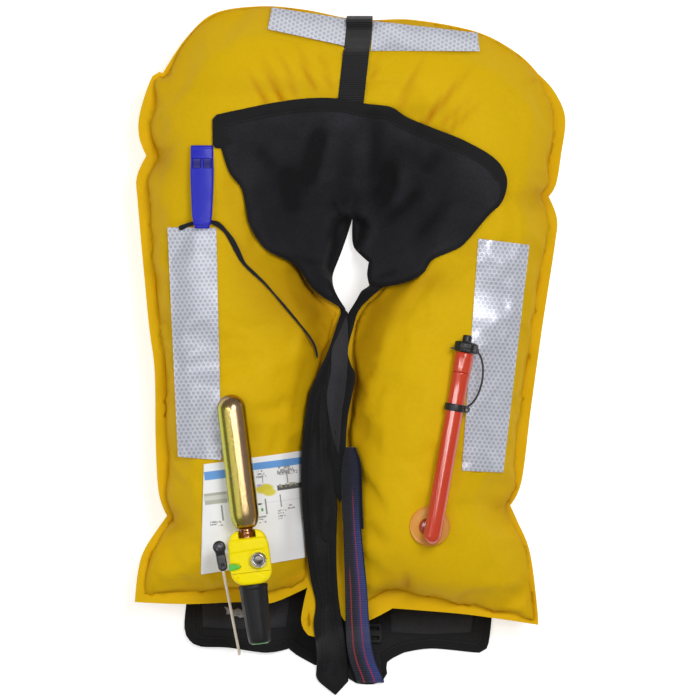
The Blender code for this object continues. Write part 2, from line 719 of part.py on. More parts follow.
def along_u(u=0.0):
    """A placing whose own +Z runs along the inflator's U."""
    return inflator_frame() @ Matrix.Translation((0, u, 0)) @ Matrix.Rotation(-math.pi / 2, 4, "X")


def body_outline(inset=0.0):
    """The inflator body in plan: round shoulders at the top, a round lower end."""
    top, bottom, half = 27.0 - inset, -25.5 + inset, 19.0 - inset
    points = [(half * 0.45, top), (half * 0.86, top - 3.5), (half, top - 10), (half, -12)]
    points += [(half * 0.97, -18), (half * 0.72, bottom + 2.6), (half * 0.3, bottom)]
    left = [(-x, y) for x, y in reversed(points)]
    return left + points


def build_inflator_body():
    yellow = material("inflator_yellow", (0.90, 0.78, 0.01), 0.35)
    frame = inflator_frame()
    body = prism("inflator_body", body_outline(), -BODY_HALF_THICK, BODY_HALF_THICK, yellow,
                 frame, bevel=2.0)
    bore = ((0, -30), (9.0, -30), (9.0, -14), (3.6, -14), (3.6, 5.5), (2.2, 5.5), (2.2, 10),
            (8.0, 10), (8.0, 30), (0, 30))
    cut(body, turned("bore_cutter", bore, yellow, along_u(), sides=24))
    stem_hole = ((0, -18), (STEM_R + GAP, -18), (STEM_R + GAP, 18), (0, 18))
    cut(body, turned("stem_cutter", stem_hole, yellow,
                     frame @ Matrix.Translation((STEM_V, STEM_U, 0)), sides=20))
    slot = box_mesh((-22, -11.0, 6), (-9.4, -1.8, 18))
    cut(body, mesh_object("slot_cutter", slot, yellow, frame))
    plate_outline = body_outline(1.2)
    low = BODY_HALF_THICK + GAP
    front = prism("inflator_front_plate", plate_outline, low, low + PLATE_THICK, yellow, frame,
                  bevel=0.5)
    hole = ((0, -18), (STEM_R + GAP, -18), (STEM_R + GAP, 18), (0, 18))
    cut(front, turned("plate_cutter", hole, yellow,
                      frame @ Matrix.Translation((STEM_V, STEM_U, 14)), sides=20))
    window = box_mesh((-22, -9.6, 10), (-9.2, -2.8, 18))
    cut(front, mesh_object("window_cutter", window, yellow, frame))


def build_lever():
    grey = material("bracket_steel", (0.45, 0.45, 0.46), 0.35, 1.0)
    black = material("lever_plastic", (0.012, 0.012, 0.012), 0.4)
    hub, end = Vector(LEVER_HUB), Vector(LEVER_END)
    low = INFLATOR_Z + LEVER_W
    length = (end - hub).length
    turn = math.atan2((end - hub).y, (end - hub).x)
    place = Matrix.Translation((*hub, low)) @ Matrix.Rotation(turn, 4, "Z")
    outline = []
    for k in range(13):
        angle = math.radians(38 + 284 * k / 12)
        outline.append((6.2 * math.cos(angle), 6.2 * math.sin(angle)))
    for k in range(7):
        angle = math.radians(-80 + 160 * k / 6)
        outline.append((length + 4.2 * math.cos(angle), 4.2 * math.sin(angle)))
    lever = prism("lever", outline, 0, LEVER_THICK, black, place, bevel=0.8)
    for name, x, radius in (("hub", 0.0, 1.8), ("cord", length, 1.6)):
        hole = ((0, -2), (radius, -2), (radius, 8), (0, 8))
        spot = place @ Matrix.Translation((x, 0, 0))
        cut(lever, turned(f"{name}_hole_cutter", hole, black, spot, sides=16))
    arm_low, arm_high = low - GAP - 3.2, low - GAP
    wall = inflator_point(9.0, -19.0 - 2 * GAP)
    reach = hub.x - 3.0
    arm = ((wall.x, wall.y - 3.0), (wall.x, wall.y + 3.0), (reach, hub.y + 3.2), (reach, hub.y - 3.2))
    bracket = prism("lever_bracket", arm, arm_low, arm_high, grey)
    pin_hole = ((0, -6), (1.8, -6), (1.8, 6), (0, 6))
    cut(bracket, turned("bracket_cutter", pin_hole, grey, Matrix.Translation((*hub, arm_low)), sides=16))
    pin = ((0, arm_low), (1.45, arm_low), (1.45, low + LEVER_THICK + GAP),
           (2.7, low + LEVER_THICK + GAP), (2.5, low + LEVER_THICK + 1.1), (0, low + LEVER_THICK + 1.4))
    turned("lever_pin", pin, grey, Matrix.Translation((*hub, 0)), sides=16)


def coil_points(turns, radius, start, end, per_turn=8):
    """Points along a coil about local +Z."""
    count = turns * per_turn + 1
    out = []
    for k in range(count):
        angle = 2 * math.pi * k / per_turn
        height = start + (end - start) * k / (count - 1)
        out.append(Vector((radius * math.cos(angle), radius * math.sin(angle), height)))
    return out


def coil(name, place, turns, radius, start, end, wire, look):
    points = [place @ p for p in coil_points(turns, radius, start, end)]
    return tube(name, points, wire, look, resolution=1)


def build_firing_parts():
    """What moves inside the inflator's body, on its axis."""
    steel = material("polished_steel", (0.6, 0.6, 0.62), 0.25, 1.0)
    green = material("indicator_green", (0.10, 0.55, 0.08), 0.4)
    rubber = material("seal_rubber", (0.03, 0.03, 0.03), 0.8)
    axis = along_u()
    pin = ((0, -13.2), (3.1, -13.2), (3.1, -11.2), (1.8, -11.2), (1.8, 6.0), (0, 9.2))
    turned("piercing_pin", pin, steel, axis, sides=16)
    coil("pin_spring", axis, 4, 2.7, -10.4, 0.9, 0.42, steel)
    gasket = ((3.2, 10.3), (7.4, 10.3), (7.4, 11.7), (3.2, 11.7))
    turned("cylinder_gasket", gasket, rubber, axis, sides=20)
    outline = [(-19.3, -9.9)]
    outline += [(-13.6 + 3.9 * math.cos(t), -7.4 + 2.5 * math.sin(t))
                for t in (math.radians(a) for a in (-75, -45, -15, 15, 45, 75))]
    outline += [(-19.3, -4.9)]
    prism("status_indicator", outline, 6.4, BODY_HALF_THICK + 0.1, green, inflator_frame())


def build_cylinder():
    zinc = material("cylinder_zinc", (0.55, 0.42, 0.16), 0.28, 1.0)
    profile = [(0, 15.0), (2.6, 15.0), (2.6, 12.0), (NECK_R, 12.0), (NECK_R, 31.0)]
    shoulder, dome = 44.5, 143.2
    for k in range(1, 6):
        angle = math.pi / 2 * k / 5
        profile.append((NECK_R + (CYLINDER_R - NECK_R) * math.sin(angle) ** 1.2,
                        31.0 + (shoulder - 31.0) * (1 - math.cos(angle))))
    for k in range(0, 6):
        angle = math.pi / 2 * k / 5
        radius = CYLINDER_R * math.cos(angle) if k < 5 else 0
        profile.append((radius, dome + CYLINDER_R * math.sin(angle)))
    turned("co2_cylinder", profile, zinc, along_u(), sides=24)


def build_cartridge():
    black = material("cartridge_plastic", (0.01, 0.01, 0.012), 0.5)
    green = material("indicator_green", (0.10, 0.55, 0.08), 0.4)
    steel = material("polished_steel", (0.6, 0.6, 0.62), 0.25, 1.0)
    paper = material("soluble_bobbin", (0.75, 0.72, 0.62), 0.9)
    white = material("plunger_plastic", (0.7, 0.7, 0.7), 0.5)
    axis = along_u()
    case = ((5.2, -14.5), (8.7, -14.5), (8.7, -25.8), (13.4, -25.8), (CARTRIDGE_R, -27.0),
            (CARTRIDGE_R - 0.4, -32.0), (11.0, -79.0), (10.2, -81.6), (8.6, -82.2), (8.6, -76.0),
            (9.3, -75.0), (11.0, -32.0), (11.0, -29.0), (5.2, -28.5))
    turned("cartridge_case", case, black, axis, sides=24)
    cap = ((0, -76.4), (8.2, -76.4), (8.2, -82.4), (6.0, -83.4), (0, -83.8))
    turned("cartridge_end_cap", cap, green, axis, sides=24)
    plunger = ((0, -13.9), (3.0, -13.9), (3.0, -30.0), (9.8, -30.0), (9.8, -32.0), (0, -32.0))
    turned("cartridge_plunger", plunger, white, axis, sides=20)
    ring = ((4.0, -32.6), (9.6, -32.6), (9.3, -40.0), (4.0, -40.0))
    turned("soluble_ring", ring, paper, axis, sides=20)
    coil("cartridge_spring", axis, 5, 6.6, -41.4, -75.2, 0.7, steel)


def build_manifold():
    """The welded stem that carries the inflator, with its two washers and its nut."""
    yellow = material("manifold_plastic", (0.75, 0.45, 0.02), 0.5)
    brass = material("stem_brass", (0.62, 0.47, 0.20), 0.3, 1.0)
    rubber = material("seal_rubber", (0.03, 0.03, 0.03), 0.8)
    chrome = material("nut_chrome", (0.75, 0.75, 0.77), 0.15, 1.0)
    spot = inflator_point(STEM_U, STEM_V)
    place = inflator_frame() @ Matrix.Translation((STEM_V, STEM_U, 0))
    under = -BODY_HALF_THICK - GAP
    foot = highest_under([(spot.x, spot.y)], 11.5) + 0.9 - INFLATOR_Z
    boss_top = under - 1.4 - GAP
    boss = ((STEM_R + GAP, foot), (11.5, foot), (11.5, foot + 1.4), (9.0, foot + 2.2),
            (9.0, boss_top), (STEM_R + GAP, boss_top))
    turned("inflator_manifold", boss, yellow, place, sides=24)
    ring = (STEM_R + GAP, 8.0)
    low = ((ring[0], under - 1.4), (ring[1], under - 1.4), (ring[1], under), (ring[0], under))
    turned("washer_back", low, rubber, place, sides=20)
    face = BODY_HALF_THICK + GAP + PLATE_THICK + GAP
    high = ((ring[0], face), (ring[1] - 0.4, face), (ring[1] - 0.4, face + 1.1), (ring[0], face + 1.1))
    turned("washer_front", high, rubber, place, sides=20)
    nut_low = face + 1.1 + GAP
    stem = ((0, foot + 0.2), (STEM_R, foot + 0.2), (STEM_R, nut_low + 3.0), (0, nut_low + 3.0))
    turned("manifold_stem", stem, brass, place, sides=20)
    nut = ((0, nut_low + 3.4), (STEM_R + GAP, nut_low + 3.4), (STEM_R + GAP, nut_low),
           (NUT_R, nut_low), (NUT_R, nut_low + 3.2), (6.9, nut_low + 4.8), (4.0, nut_low + 6.0),
           (0, nut_low + 6.4))
    turned("dome_nut", nut, chrome, place, sides=24)


def pull_cord_route():
    """From the lever's end, hanging down to the flap's edge, round it, and back to the handle."""
    start = np.array([LEVER_END[0] + 0.6, LEVER_END[1] - 5.2, INFLATOR_Z + LEVER_W + LEVER_THICK / 2])
    edge = np.array([PULL_CORD_X, FLAP_EDGE_Y + 1.6, 11.6])
    hang = []
    for share in (0.0, 0.06, 0.2, 0.36, 0.52, 0.68, 0.84):
        sag = -9.0 * math.sin(math.pi * share)
        hang.append(tuple(start + share * (edge - start) + (0, 0, sag)))
    return hang + [tuple(edge), (PULL_CORD_X, FLAP_EDGE_Y, 7.3), (PULL_CORD_X, FLAP_EDGE_Y + 1.8, 3.6),
                   (PULL_CORD_X, FLAP_EDGE_Y + 5.6, 2.2), (PULL_CORD_X, PULL_CORD_END_Y, 2.1)]


def build_pull_cord():
    beige = material("pull_cord", (0.72, 0.66, 0.56), 0.9)
    black = material("lever_plastic", (0.012, 0.012, 0.012), 0.4)
    tube("pull_cord", smooth_route(pull_cord_route(), 5.5), CORD_R, beige)
    place = Matrix.Translation((PULL_CORD_X, -273.5, 0.4))
    prism("pull_handle", rounded_box(34, 18, 5), 0, 3.6, black, place, bevel=0.8)


# ---------------------------------------------------------------- oral tube


def oral_place(t=0.0):
    """A placing whose own +Z runs along the oral tube, t from its pivot."""
    turn = Matrix.Rotation(ORAL_TURN, 4, "Z") @ Matrix.Rotation(-math.pi / 2, 4, "X")
    return Matrix.Translation((*ORAL_PIVOT, ORAL_Z)) @ turn @ Matrix.Translation((0, 0, t))


def build_oral_tube():
    red = material("oral_red", (0.62, 0.06, 0.02), 0.3)
    orange = material("base_disc", (0.75, 0.28, 0.02), 0.35)
    black = material("cap_rubber", (0.012, 0.012, 0.012), 0.5)
    steel = material("polished_steel", (0.6, 0.6, 0.62), 0.25, 1.0)
    foot = highest_under([ORAL_DISC], 20.0) + 0.9
    low = ORAL_Z - TUBE_R - 0.5
    base = ((0, foot), (19.5, foot), (20.0, foot + 0.8), (19.0, foot + 1.6), (9.5, foot + 1.8),
            (8.5, low), (0, low))
    turned("oral_base", base, orange, Matrix.Translation((*ORAL_DISC, 0)), sides=28)
    lower = [(0, -TUBE_R)]
    lower += [(TUBE_R * math.sin(a), -TUBE_R * math.cos(a))
              for a in (math.radians(d) for d in (25, 50, 72, 90))]
    profile = [*lower, (TUBE_R, MOUTH_START - 6), (TUBE_R - 0.5, MOUTH_START - 3),
               (TUBE_R - 0.5, MOUTH_START - GAP), (6.6, MOUTH_START - GAP), (6.6, MOUTH_START + 8),
               (TUBE_BORE_R, MOUTH_START + 8), (TUBE_BORE_R, 3.0), (0, 0.5)]
    turned("oral_tube", profile, red, oral_place(), sides=22)
    mouth = ((6.9, MOUTH_START), (8.6, MOUTH_START), (9.1, MOUTH_START + 2), (9.1, MOUTH_END - 1.2),
             (8.4, MOUTH_END), (5.2, MOUTH_END), (5.2, MOUTH_START + 8.4), (6.9, MOUTH_START + 8.4))
    turned("mouthpiece", mouth, red, oral_place(), sides=22)
    poppet = ((0, 150.0), (1.5, 150.0), (1.5, 157.5), (4.5, 159.0), (4.5, 161.0), (2.0, 161.6),
              (2.0, 170.0), (0, 170.0))
    turned("valve_poppet", poppet, steel, oral_place(), sides=16)
    coil("valve_spring", oral_place(), 4, 3.4, 143.0, 157.4 - VALVE_TRAVEL, 0.4, steel)
    cap = ((0, MOUTH_END - 4.0), (4.7, MOUTH_END - 4.0), (4.9, MOUTH_END + GAP), (9.4, MOUTH_END + GAP),
           (10.4, MOUTH_END + 1.4), (10.4, MOUTH_END + 9.5), (9.4, MOUTH_END + 11),
           (4.4, MOUTH_END + 11), (4.0, MOUTH_END + 13), (4.4, MOUTH_END + 16), (3.4, MOUTH_END + 17),
           (0, MOUTH_END + 17))
    turned("oral_cap", cap, black, oral_place(), sides=22)
    band = ((TUBE_R + GAP, 120.4), (10.2, 120.4), (10.2, 127.4), (TUBE_R + GAP, 127.4))
    turned("tether_band", band, black, oral_place(), sides=22)
    arc = []
    for k in range(13):
        angle = math.radians(-84 + 168 * k / 12)
        sideways = 7.5 + 13.5 * math.cos(angle)
        arc.append(oral_place() @ Vector((sideways, -1.5, 153.6 + 28.0 * math.sin(angle))))
    arc[0] = oral_place() @ Vector((11.9, -1.5, 124.5))
    arc[-1] = oral_place() @ Vector((12.1, -1.5, 183.0))
    tube("cap_tether", smooth_route(arc, 4.0), 1.0, black, resolution=1)


# ---------------------------------------------------------------- whistle


def build_whistle():
    blue = material("whistle_blue", (0.05, 0.06, 0.55), 0.35)
    low = whistle_height()
    place = Matrix.Translation((*WHISTLE_EYELET, low))
    right = [(3.2, -4.0), (6.8, -2.6), (7.4, 0), (7.6, 5.5), (9.0, 8.0), (10.6, 40.0), (11.0, 60.0),
             (11.0, WHISTLE_LENGTH - 1), (10.0, WHISTLE_LENGTH)]
    outline = right + [(-x, y) for x, y in reversed(right)]
    whistle = prism("whistle", outline, -WHISTLE_THICK / 2, WHISTLE_THICK / 2, blue, place, bevel=1.4)
    for side in (-1, 1):
        window = box_mesh((side * 5.0 - 3.2, 54, 0.5), (side * 5.0 + 3.2, 63, 9))
        cut(whistle, mesh_object(f"window_cutter_{side:+d}", window, blue, place))
    eyelet = ((0, -6), (2.2, -6), (2.2, 6), (0, 6))
    cut(whistle, turned("eyelet_cutter", eyelet, blue, place, sides=16))
    black = material("lanyard_cord", (0.012, 0.012, 0.012), 0.8)
    points = [(x, y, float(skin([(x, y)])[0]) + TAPE_THICK + 0.6 + CORD_R) for x, y in LANYARD_ROUTE]
    tube("whistle_lanyard", smooth_route(points, 6.5), CORD_R, black)
    tail_z = float(skin([(-157, 121)])[0]) + 3.6
    tail = [(x, y, tail_z) for x, y in
            ((-163.0, 118.4), (-159.5, 119.6), (-155.0, 121.2), (-150.4, 122.6))]
    tube("lanyard_knot", smooth_route(tail, 4.0), 2.3, black)


def whistle_height():
    """The height of the whistle's middle plane, resting on the bladder."""
    spine = [(WHISTLE_EYELET[0], WHISTLE_EYELET[1] + y) for y in range(-4, 80, 8)]
    return highest_under(spine, 11.0) + WHISTLE_THICK / 2 + 1.2


# ---------------------------------------------------------------- assembly


def clear_scene():
    for made in list(bpy.data.objects):
        bpy.data.objects.remove(made)


clear_scene()
build_bladder()
build_tapes()
build_label()
build_cover()
build_linings()
build_collar()
build_edges()
build_harness()
build_buckle()
build_inflator_body()
build_lever()
build_firing_parts()
build_cylinder()
build_cartridge()
build_manifold()
build_pull_cord()
build_oral_tube()
build_whistle()
bpy.context.view_layer.update()
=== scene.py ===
import json
import math

import bmesh
import bpy
import numpy as np
from mathutils import Matrix, Vector, geometry
from mathutils.bvhtree import BVHTree

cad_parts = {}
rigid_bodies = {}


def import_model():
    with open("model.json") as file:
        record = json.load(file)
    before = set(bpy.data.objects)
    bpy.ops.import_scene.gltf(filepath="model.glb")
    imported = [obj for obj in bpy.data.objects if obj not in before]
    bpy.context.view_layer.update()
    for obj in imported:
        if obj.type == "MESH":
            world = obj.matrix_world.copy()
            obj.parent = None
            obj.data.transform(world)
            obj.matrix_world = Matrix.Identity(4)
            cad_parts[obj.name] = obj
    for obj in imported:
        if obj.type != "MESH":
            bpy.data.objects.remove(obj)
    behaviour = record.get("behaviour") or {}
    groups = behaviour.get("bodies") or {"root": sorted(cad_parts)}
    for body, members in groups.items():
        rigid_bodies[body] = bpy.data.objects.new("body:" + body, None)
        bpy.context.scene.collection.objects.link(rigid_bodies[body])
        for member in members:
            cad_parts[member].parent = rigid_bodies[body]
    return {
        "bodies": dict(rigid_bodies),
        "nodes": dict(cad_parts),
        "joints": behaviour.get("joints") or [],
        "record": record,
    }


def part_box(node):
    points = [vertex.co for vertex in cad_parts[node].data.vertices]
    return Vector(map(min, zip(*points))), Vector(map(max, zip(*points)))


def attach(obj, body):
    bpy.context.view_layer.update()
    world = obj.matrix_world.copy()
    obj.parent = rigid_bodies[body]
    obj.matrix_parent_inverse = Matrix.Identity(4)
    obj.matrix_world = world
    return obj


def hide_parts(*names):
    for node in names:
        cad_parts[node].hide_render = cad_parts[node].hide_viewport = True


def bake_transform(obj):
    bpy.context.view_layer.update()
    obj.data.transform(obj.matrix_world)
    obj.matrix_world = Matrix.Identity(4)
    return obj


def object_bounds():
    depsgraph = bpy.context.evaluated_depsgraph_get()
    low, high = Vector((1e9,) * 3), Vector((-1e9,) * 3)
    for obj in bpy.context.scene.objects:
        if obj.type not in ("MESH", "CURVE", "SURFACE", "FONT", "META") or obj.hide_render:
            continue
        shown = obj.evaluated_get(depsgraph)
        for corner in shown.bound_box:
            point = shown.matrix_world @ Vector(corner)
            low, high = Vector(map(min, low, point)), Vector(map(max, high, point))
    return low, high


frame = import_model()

MM = 0.001
CAD_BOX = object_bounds()


# ---------------------------------------------------------------- where things are


def middle_mm(node):
    """The middle of a CAD node's box, in millimetres."""
    low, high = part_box(node)
    return (low + high) / 2 / MM


INFLATOR_CENTRE = (-95.9, -197.0)
INFLATOR_TURN = math.radians(7.0)
INFLATOR_Z = middle_mm("inflator_body").z
ORAL_PIVOT = (78.9, -175.6)
ORAL_DISC = (76.5, -167.0)
ORAL_TURN = math.radians(-10.0)
ORAL_Z = middle_mm("oral_tube").z
WHISTLE_EYELET = (-141.5, 121.8)
WHISTLE_Z = middle_mm("whistle").z
LEVER_HUB = (-125.0, -187.0)
LEVER_END = (-121.8, -204.5)
LEVER_Z = middle_mm("lever").z


# ---------------------------------------------------------------- camera, light, floor

scene = bpy.context.scene
scene.view_settings.view_transform = "Standard"
# The camera looks straight down from far off and takes in a square of the plan, all in metres.
CAMERA_HEIGHT = 12.0
CAMERA_Y = 0.0014
CAMERA_REACH = 30.0
PLANE_Z = 0.075
SEEN = 0.672
SENSOR = 36.0
camera_data = bpy.data.cameras.new("camera")
camera_data.sensor_width = SENSOR
camera_data.lens = SENSOR * (CAMERA_HEIGHT - PLANE_Z) / SEEN
camera_data.clip_end = CAMERA_REACH
camera = bpy.data.objects.new("camera", camera_data)
camera.location = (0.0, CAMERA_Y, CAMERA_HEIGHT)
scene.collection.objects.link(camera)
scene.camera = camera


def area_light(name, place, aim, size, power):
    """A rectangular white lamp, in metres and watts, that the camera itself doesn't see."""
    data = bpy.data.lights.new(name, "AREA")
    data.shape = "RECTANGLE"
    data.size, data.size_y = size
    data.energy = power
    light = bpy.data.objects.new(name, data)
    light.location = place
    way = Vector(aim) - Vector(place)
    light.rotation_euler = way.to_track_quat("-Z", "Y").to_euler()
    light.visible_camera = False
    scene.collection.objects.link(light)


area_light("key", (0.7, 0.75, 2.6), (0, 0, 0.05), (0.8, 1.0), 34)
area_light("fill", (-1.9, -0.6, 2.2), (0, 0, 0.05), (1.2, 2.0), 8)
area_light("strip_left", (-0.75, 0.1, 1.8), (0, -0.05, 0.1), (0.10, 1.6), 5)
area_light("strip_right", (0.42, 0.0, 2.4), (0, -0.05, 0.1), (0.12, 1.8), 5)
world = bpy.data.worlds.new("studio")
world.use_nodes = True
background = world.node_tree.nodes["Background"]
background.inputs["Color"].default_value = (1, 1, 1, 1)
background.inputs["Strength"].default_value = 0.25
scene.world = world


# ---------------------------------------------------------------- materials


class Look:
    """A material and the few node calls that the looks here are made of."""

    def __init__(self, name, colour, rough, metallic=0.0, specular=0.5, coat=0.0, sheen=0.0,
                 coat_rough=0.1, sheen_rough=0.5, subsurface=0.0):
        self.material = bpy.data.materials.new(name)
        self.material.use_nodes = True
        self.tree = self.material.node_tree
        self.shader = self.tree.nodes["Principled BSDF"]
        values = {"Base Color": (*colour, 1), "Roughness": rough, "Metallic": metallic,
                  "Specular IOR Level": specular, "Coat Weight": coat, "Coat Roughness": coat_rough,
                  "Sheen Weight": sheen, "Sheen Roughness": sheen_rough}
        for key, value in values.items():
            self.shader.inputs[key].default_value = value
        if subsurface:
            self.shader.inputs["Subsurface Weight"].default_value = subsurface
            self.shader.inputs["Subsurface Scale"].default_value = 0.004
        self.colour = (*colour, 1)
        self.height = None

    def node(self, kind, **settings):
        made = self.tree.nodes.new(kind)
        for key, value in settings.items():
            setattr(made, key, value)
        return made

    def feed(self, socket, value):
        if isinstance(value, bpy.types.NodeSocket):
            self.tree.links.new(value, socket)
        elif value is not None:
            socket.default_value = value

    def coords(self, kind="Object"):
        return self.node("ShaderNodeTexCoord").outputs[kind]

    def attribute(self, name):
        return self.node("ShaderNodeAttribute", attribute_name=name).outputs["Fac"]

    def math(self, what, a, b=None, c=None):
        made = self.node("ShaderNodeMath", operation=what)
        for socket, value in zip(made.inputs, (a, b, c)):
            self.feed(socket, value)
        return made.outputs[0]

    def times(self, a, b):
        return self.math("MULTIPLY", a, b)

    def away_from(self, value, centre):
        """How far a value is from a number."""
        return self.math("ABSOLUTE", self.math("SUBTRACT", value, centre))

    def hypot(self, u, v):
        return self.math("SQRT", self.math("ADD", self.times(u, u), self.times(v, v)))

    def split(self, place):
        """The three parts of a place."""
        made = self.node("ShaderNodeSeparateXYZ")
        self.feed(made.inputs[0], place)
        return made.outputs

    def vector(self, what, a, b=None):
        made = self.node("ShaderNodeVectorMath", operation=what)
        self.feed(made.inputs[0], a)
        self.feed(made.inputs[1], b)
        return made.outputs["Value" if what == "LENGTH" else "Vector"]

    def stretch(self, scale, coords=None, turn=(0, 0, 0)):
        made = self.node("ShaderNodeMapping")
        self.feed(made.inputs["Vector"], coords or self.coords())
        made.inputs["Scale"].default_value = scale
        made.inputs["Rotation"].default_value = turn
        return made.outputs["Vector"]

    def noise(self, scale, detail=2.0, rough=0.5, coords=None, distort=0.0):
        made = self.node("ShaderNodeTexNoise")
        self.feed(made.inputs["Vector"], coords or self.coords())
        made.inputs["Scale"].default_value = scale
        made.inputs["Detail"].default_value = detail
        made.inputs["Roughness"].default_value = rough
        made.inputs["Distortion"].default_value = distort
        return made.outputs["Fac"]

    def span(self, value, low, high, to_low=0.0, to_high=1.0, smooth=True):
        made = self.node("ShaderNodeMapRange")
        made.interpolation_type = "SMOOTHSTEP" if smooth else "LINEAR"
        self.feed(made.inputs["Value"], value)
        ends = {"From Min": low, "From Max": high, "To Min": to_low, "To Max": to_high}
        for key, number in ends.items():
            self.feed(made.inputs[key], number)
        return made.outputs["Result"]

    def mix(self, share, a, b, blend="MIX"):
        made = self.node("ShaderNodeMix", data_type="RGBA", blend_type=blend)
        for key, value in ((0, share), (6, a), (7, b)):
            if isinstance(value, tuple) and len(value) == 3:
                value = (*value, 1)
            self.feed(made.inputs[key], value)
        return made.outputs[2]

    def paint(self, share, colour):
        """Mixes a colour into the base colour."""
        self.colour = self.mix(share, self.colour, colour)
        return self

    def shade(self, value, amount):
        """Makes the base colour darker and lighter with a value about 0.5."""
        factor = self.span(value, 0.25, 0.75, 1 - amount, 1 + amount, smooth=False)
        grey = self.node("ShaderNodeCombineColor")
        for socket in grey.inputs[:3]:
            self.feed(socket, factor)
        self.colour = self.mix(1.0, self.colour, grey.outputs[0], blend="MULTIPLY")
        return self

    def raise_by(self, value, amount):
        """Adds value times amount, in metres, to the bump."""
        part = self.times(value, amount)
        self.height = part if self.height is None else self.math("ADD", self.height, part)
        return self

    def rough(self, value, low, high):
        """Lets the roughness vary from low to high with a value about 0.5."""
        spread = self.span(value, 0.25, 0.75, low, high, smooth=False)
        self.feed(self.shader.inputs["Roughness"], spread)
        return self

    def done(self):
        """Joins the colour and the bump to the shader, and gives the material."""
        if isinstance(self.colour, bpy.types.NodeSocket):
            self.feed(self.shader.inputs["Base Color"], self.colour)
        if self.height is not None:
            bump = self.node("ShaderNodeBump")
            bump.inputs["Strength"].default_value = 1.0
            bump.inputs["Distance"].default_value = 1.0
            self.feed(bump.inputs["Height"], self.height)
            self.feed(self.shader.inputs["Normal"], bump.outputs["Normal"])
        return self.material


def weave(look, pitch, turn=0.0):
    """A plain weave's height, 0 to 1, with this thread pitch in metres, seen in the plan."""
    place = look.split(look.stretch((1 / pitch, 1 / pitch, 1 / pitch), None, (0, 0, turn)))
    x = look.math("SINE", look.times(place[0], 2 * math.pi))
    y = look.math("SINE", look.times(place[1], 2 * math.pi))
    return look.math("MULTIPLY_ADD", look.times(x, y), 0.5, 0.5)


STITCH_PITCH = 3.4
THREAD_WIDTH = 0.55


def stitches(look, inset):
    """1 on a row of stitches at this inset, in millimetres, from a panel's edge."""
    away = look.away_from(look.attribute("inset"), inset)
    line = look.span(away, THREAD_WIDTH * 0.6, THREAD_WIDTH, 1.0, 0.0)
    step = look.math("FRACT", look.math("DIVIDE", look.attribute("along"), STITCH_PITCH))
    dash = look.span(look.away_from(step, 0.5), 0.30, 0.40, 1.0, 0.0)
    return look.times(line, dash)


# The bladder's darker places: the attribute that marks each, how strong it is, and its colour. The flange and
# weld tones are the cloth's own colour. The other three are painted shade: in the folds' valleys, along the
# lobes' sides by the weld, and in pools near the neck and under the collar's edges.
BLADDER_TONES = (
    ("flange", 0.55, (0.80, 0.46, 0.004)), ("fold", 0.75, (0.50, 0.185, 0.004)),
    ("weld", 0.4, (0.68, 0.34, 0.004)), ("side", 0.5, (0.62, 0.32, 0.003)),
    ("amber", 0.66, (0.36, 0.165, 0.004)),
)


def make_bladder_look():
    look = Look("bladder_nylon", (0.72, 0.455, 0.004), 0.66, specular=0.06)
    broad = look.noise(9, 3)
    fine = look.noise(240, 4, 0.65)
    look.shade(broad, 0.035).shade(fine, 0.035)
    # Paints the flange and weld in the cloth's own colour, and painted shade in the folds, along the sides
    # and in the pools.
    for name, share, colour in BLADDER_TONES:
        look.paint(look.times(look.attribute(name), share), colour)
    cloth = weave(look, 0.0011)
    look.raise_by(cloth, 0.00006).raise_by(fine, 0.00016).raise_by(broad, 0.0012)
    look.rough(fine, 0.55, 0.68)
    return look.done()


def make_fabric_look(name, colour, border=13.0, border_colour=None, seam=None, gloss=0.72,
                     specular=0.18, folds=0.4):
    """Woven polyester. A border this wide, in millimetres, is bound in plainer cloth and sewn down."""
    look = Look(name, colour, gloss, specular=specular, sheen=0.03, sheen_rough=0.6)
    fine = look.noise(420, 3, 0.6)
    broad = look.noise(14, 4, 0.55)
    # The broad noise also raises the bump below, so this is painted light where the soft folds rise and
    # painted shade where they sink.
    look.shade(fine, 0.16).shade(broad, folds)
    # Painted shade in the folds' valleys and dark places, and painted light on the folds' ridges.
    look.shade(look.math("MULTIPLY_ADD", look.attribute("crease"), -0.25, 0.5), 0.6)
    if border_colour:
        inside = look.span(look.attribute("inset"), border - 0.8, border + 0.8)
        look.colour = look.mix(inside, (*border_colour, 1), look.colour)
        look.shade(fine, 0.1)
    if seam:
        thread = stitches(look, seam)
        look.paint(look.times(thread, 0.4), (0.035, 0.035, 0.038))
        look.raise_by(thread, 0.00035)
    look.raise_by(weave(look, 0.0013, 0.4), 0.00012)
    look.raise_by(fine, 0.0003).raise_by(broad, 0.0016)
    return look.done()


RIB_PITCH = 0.0021


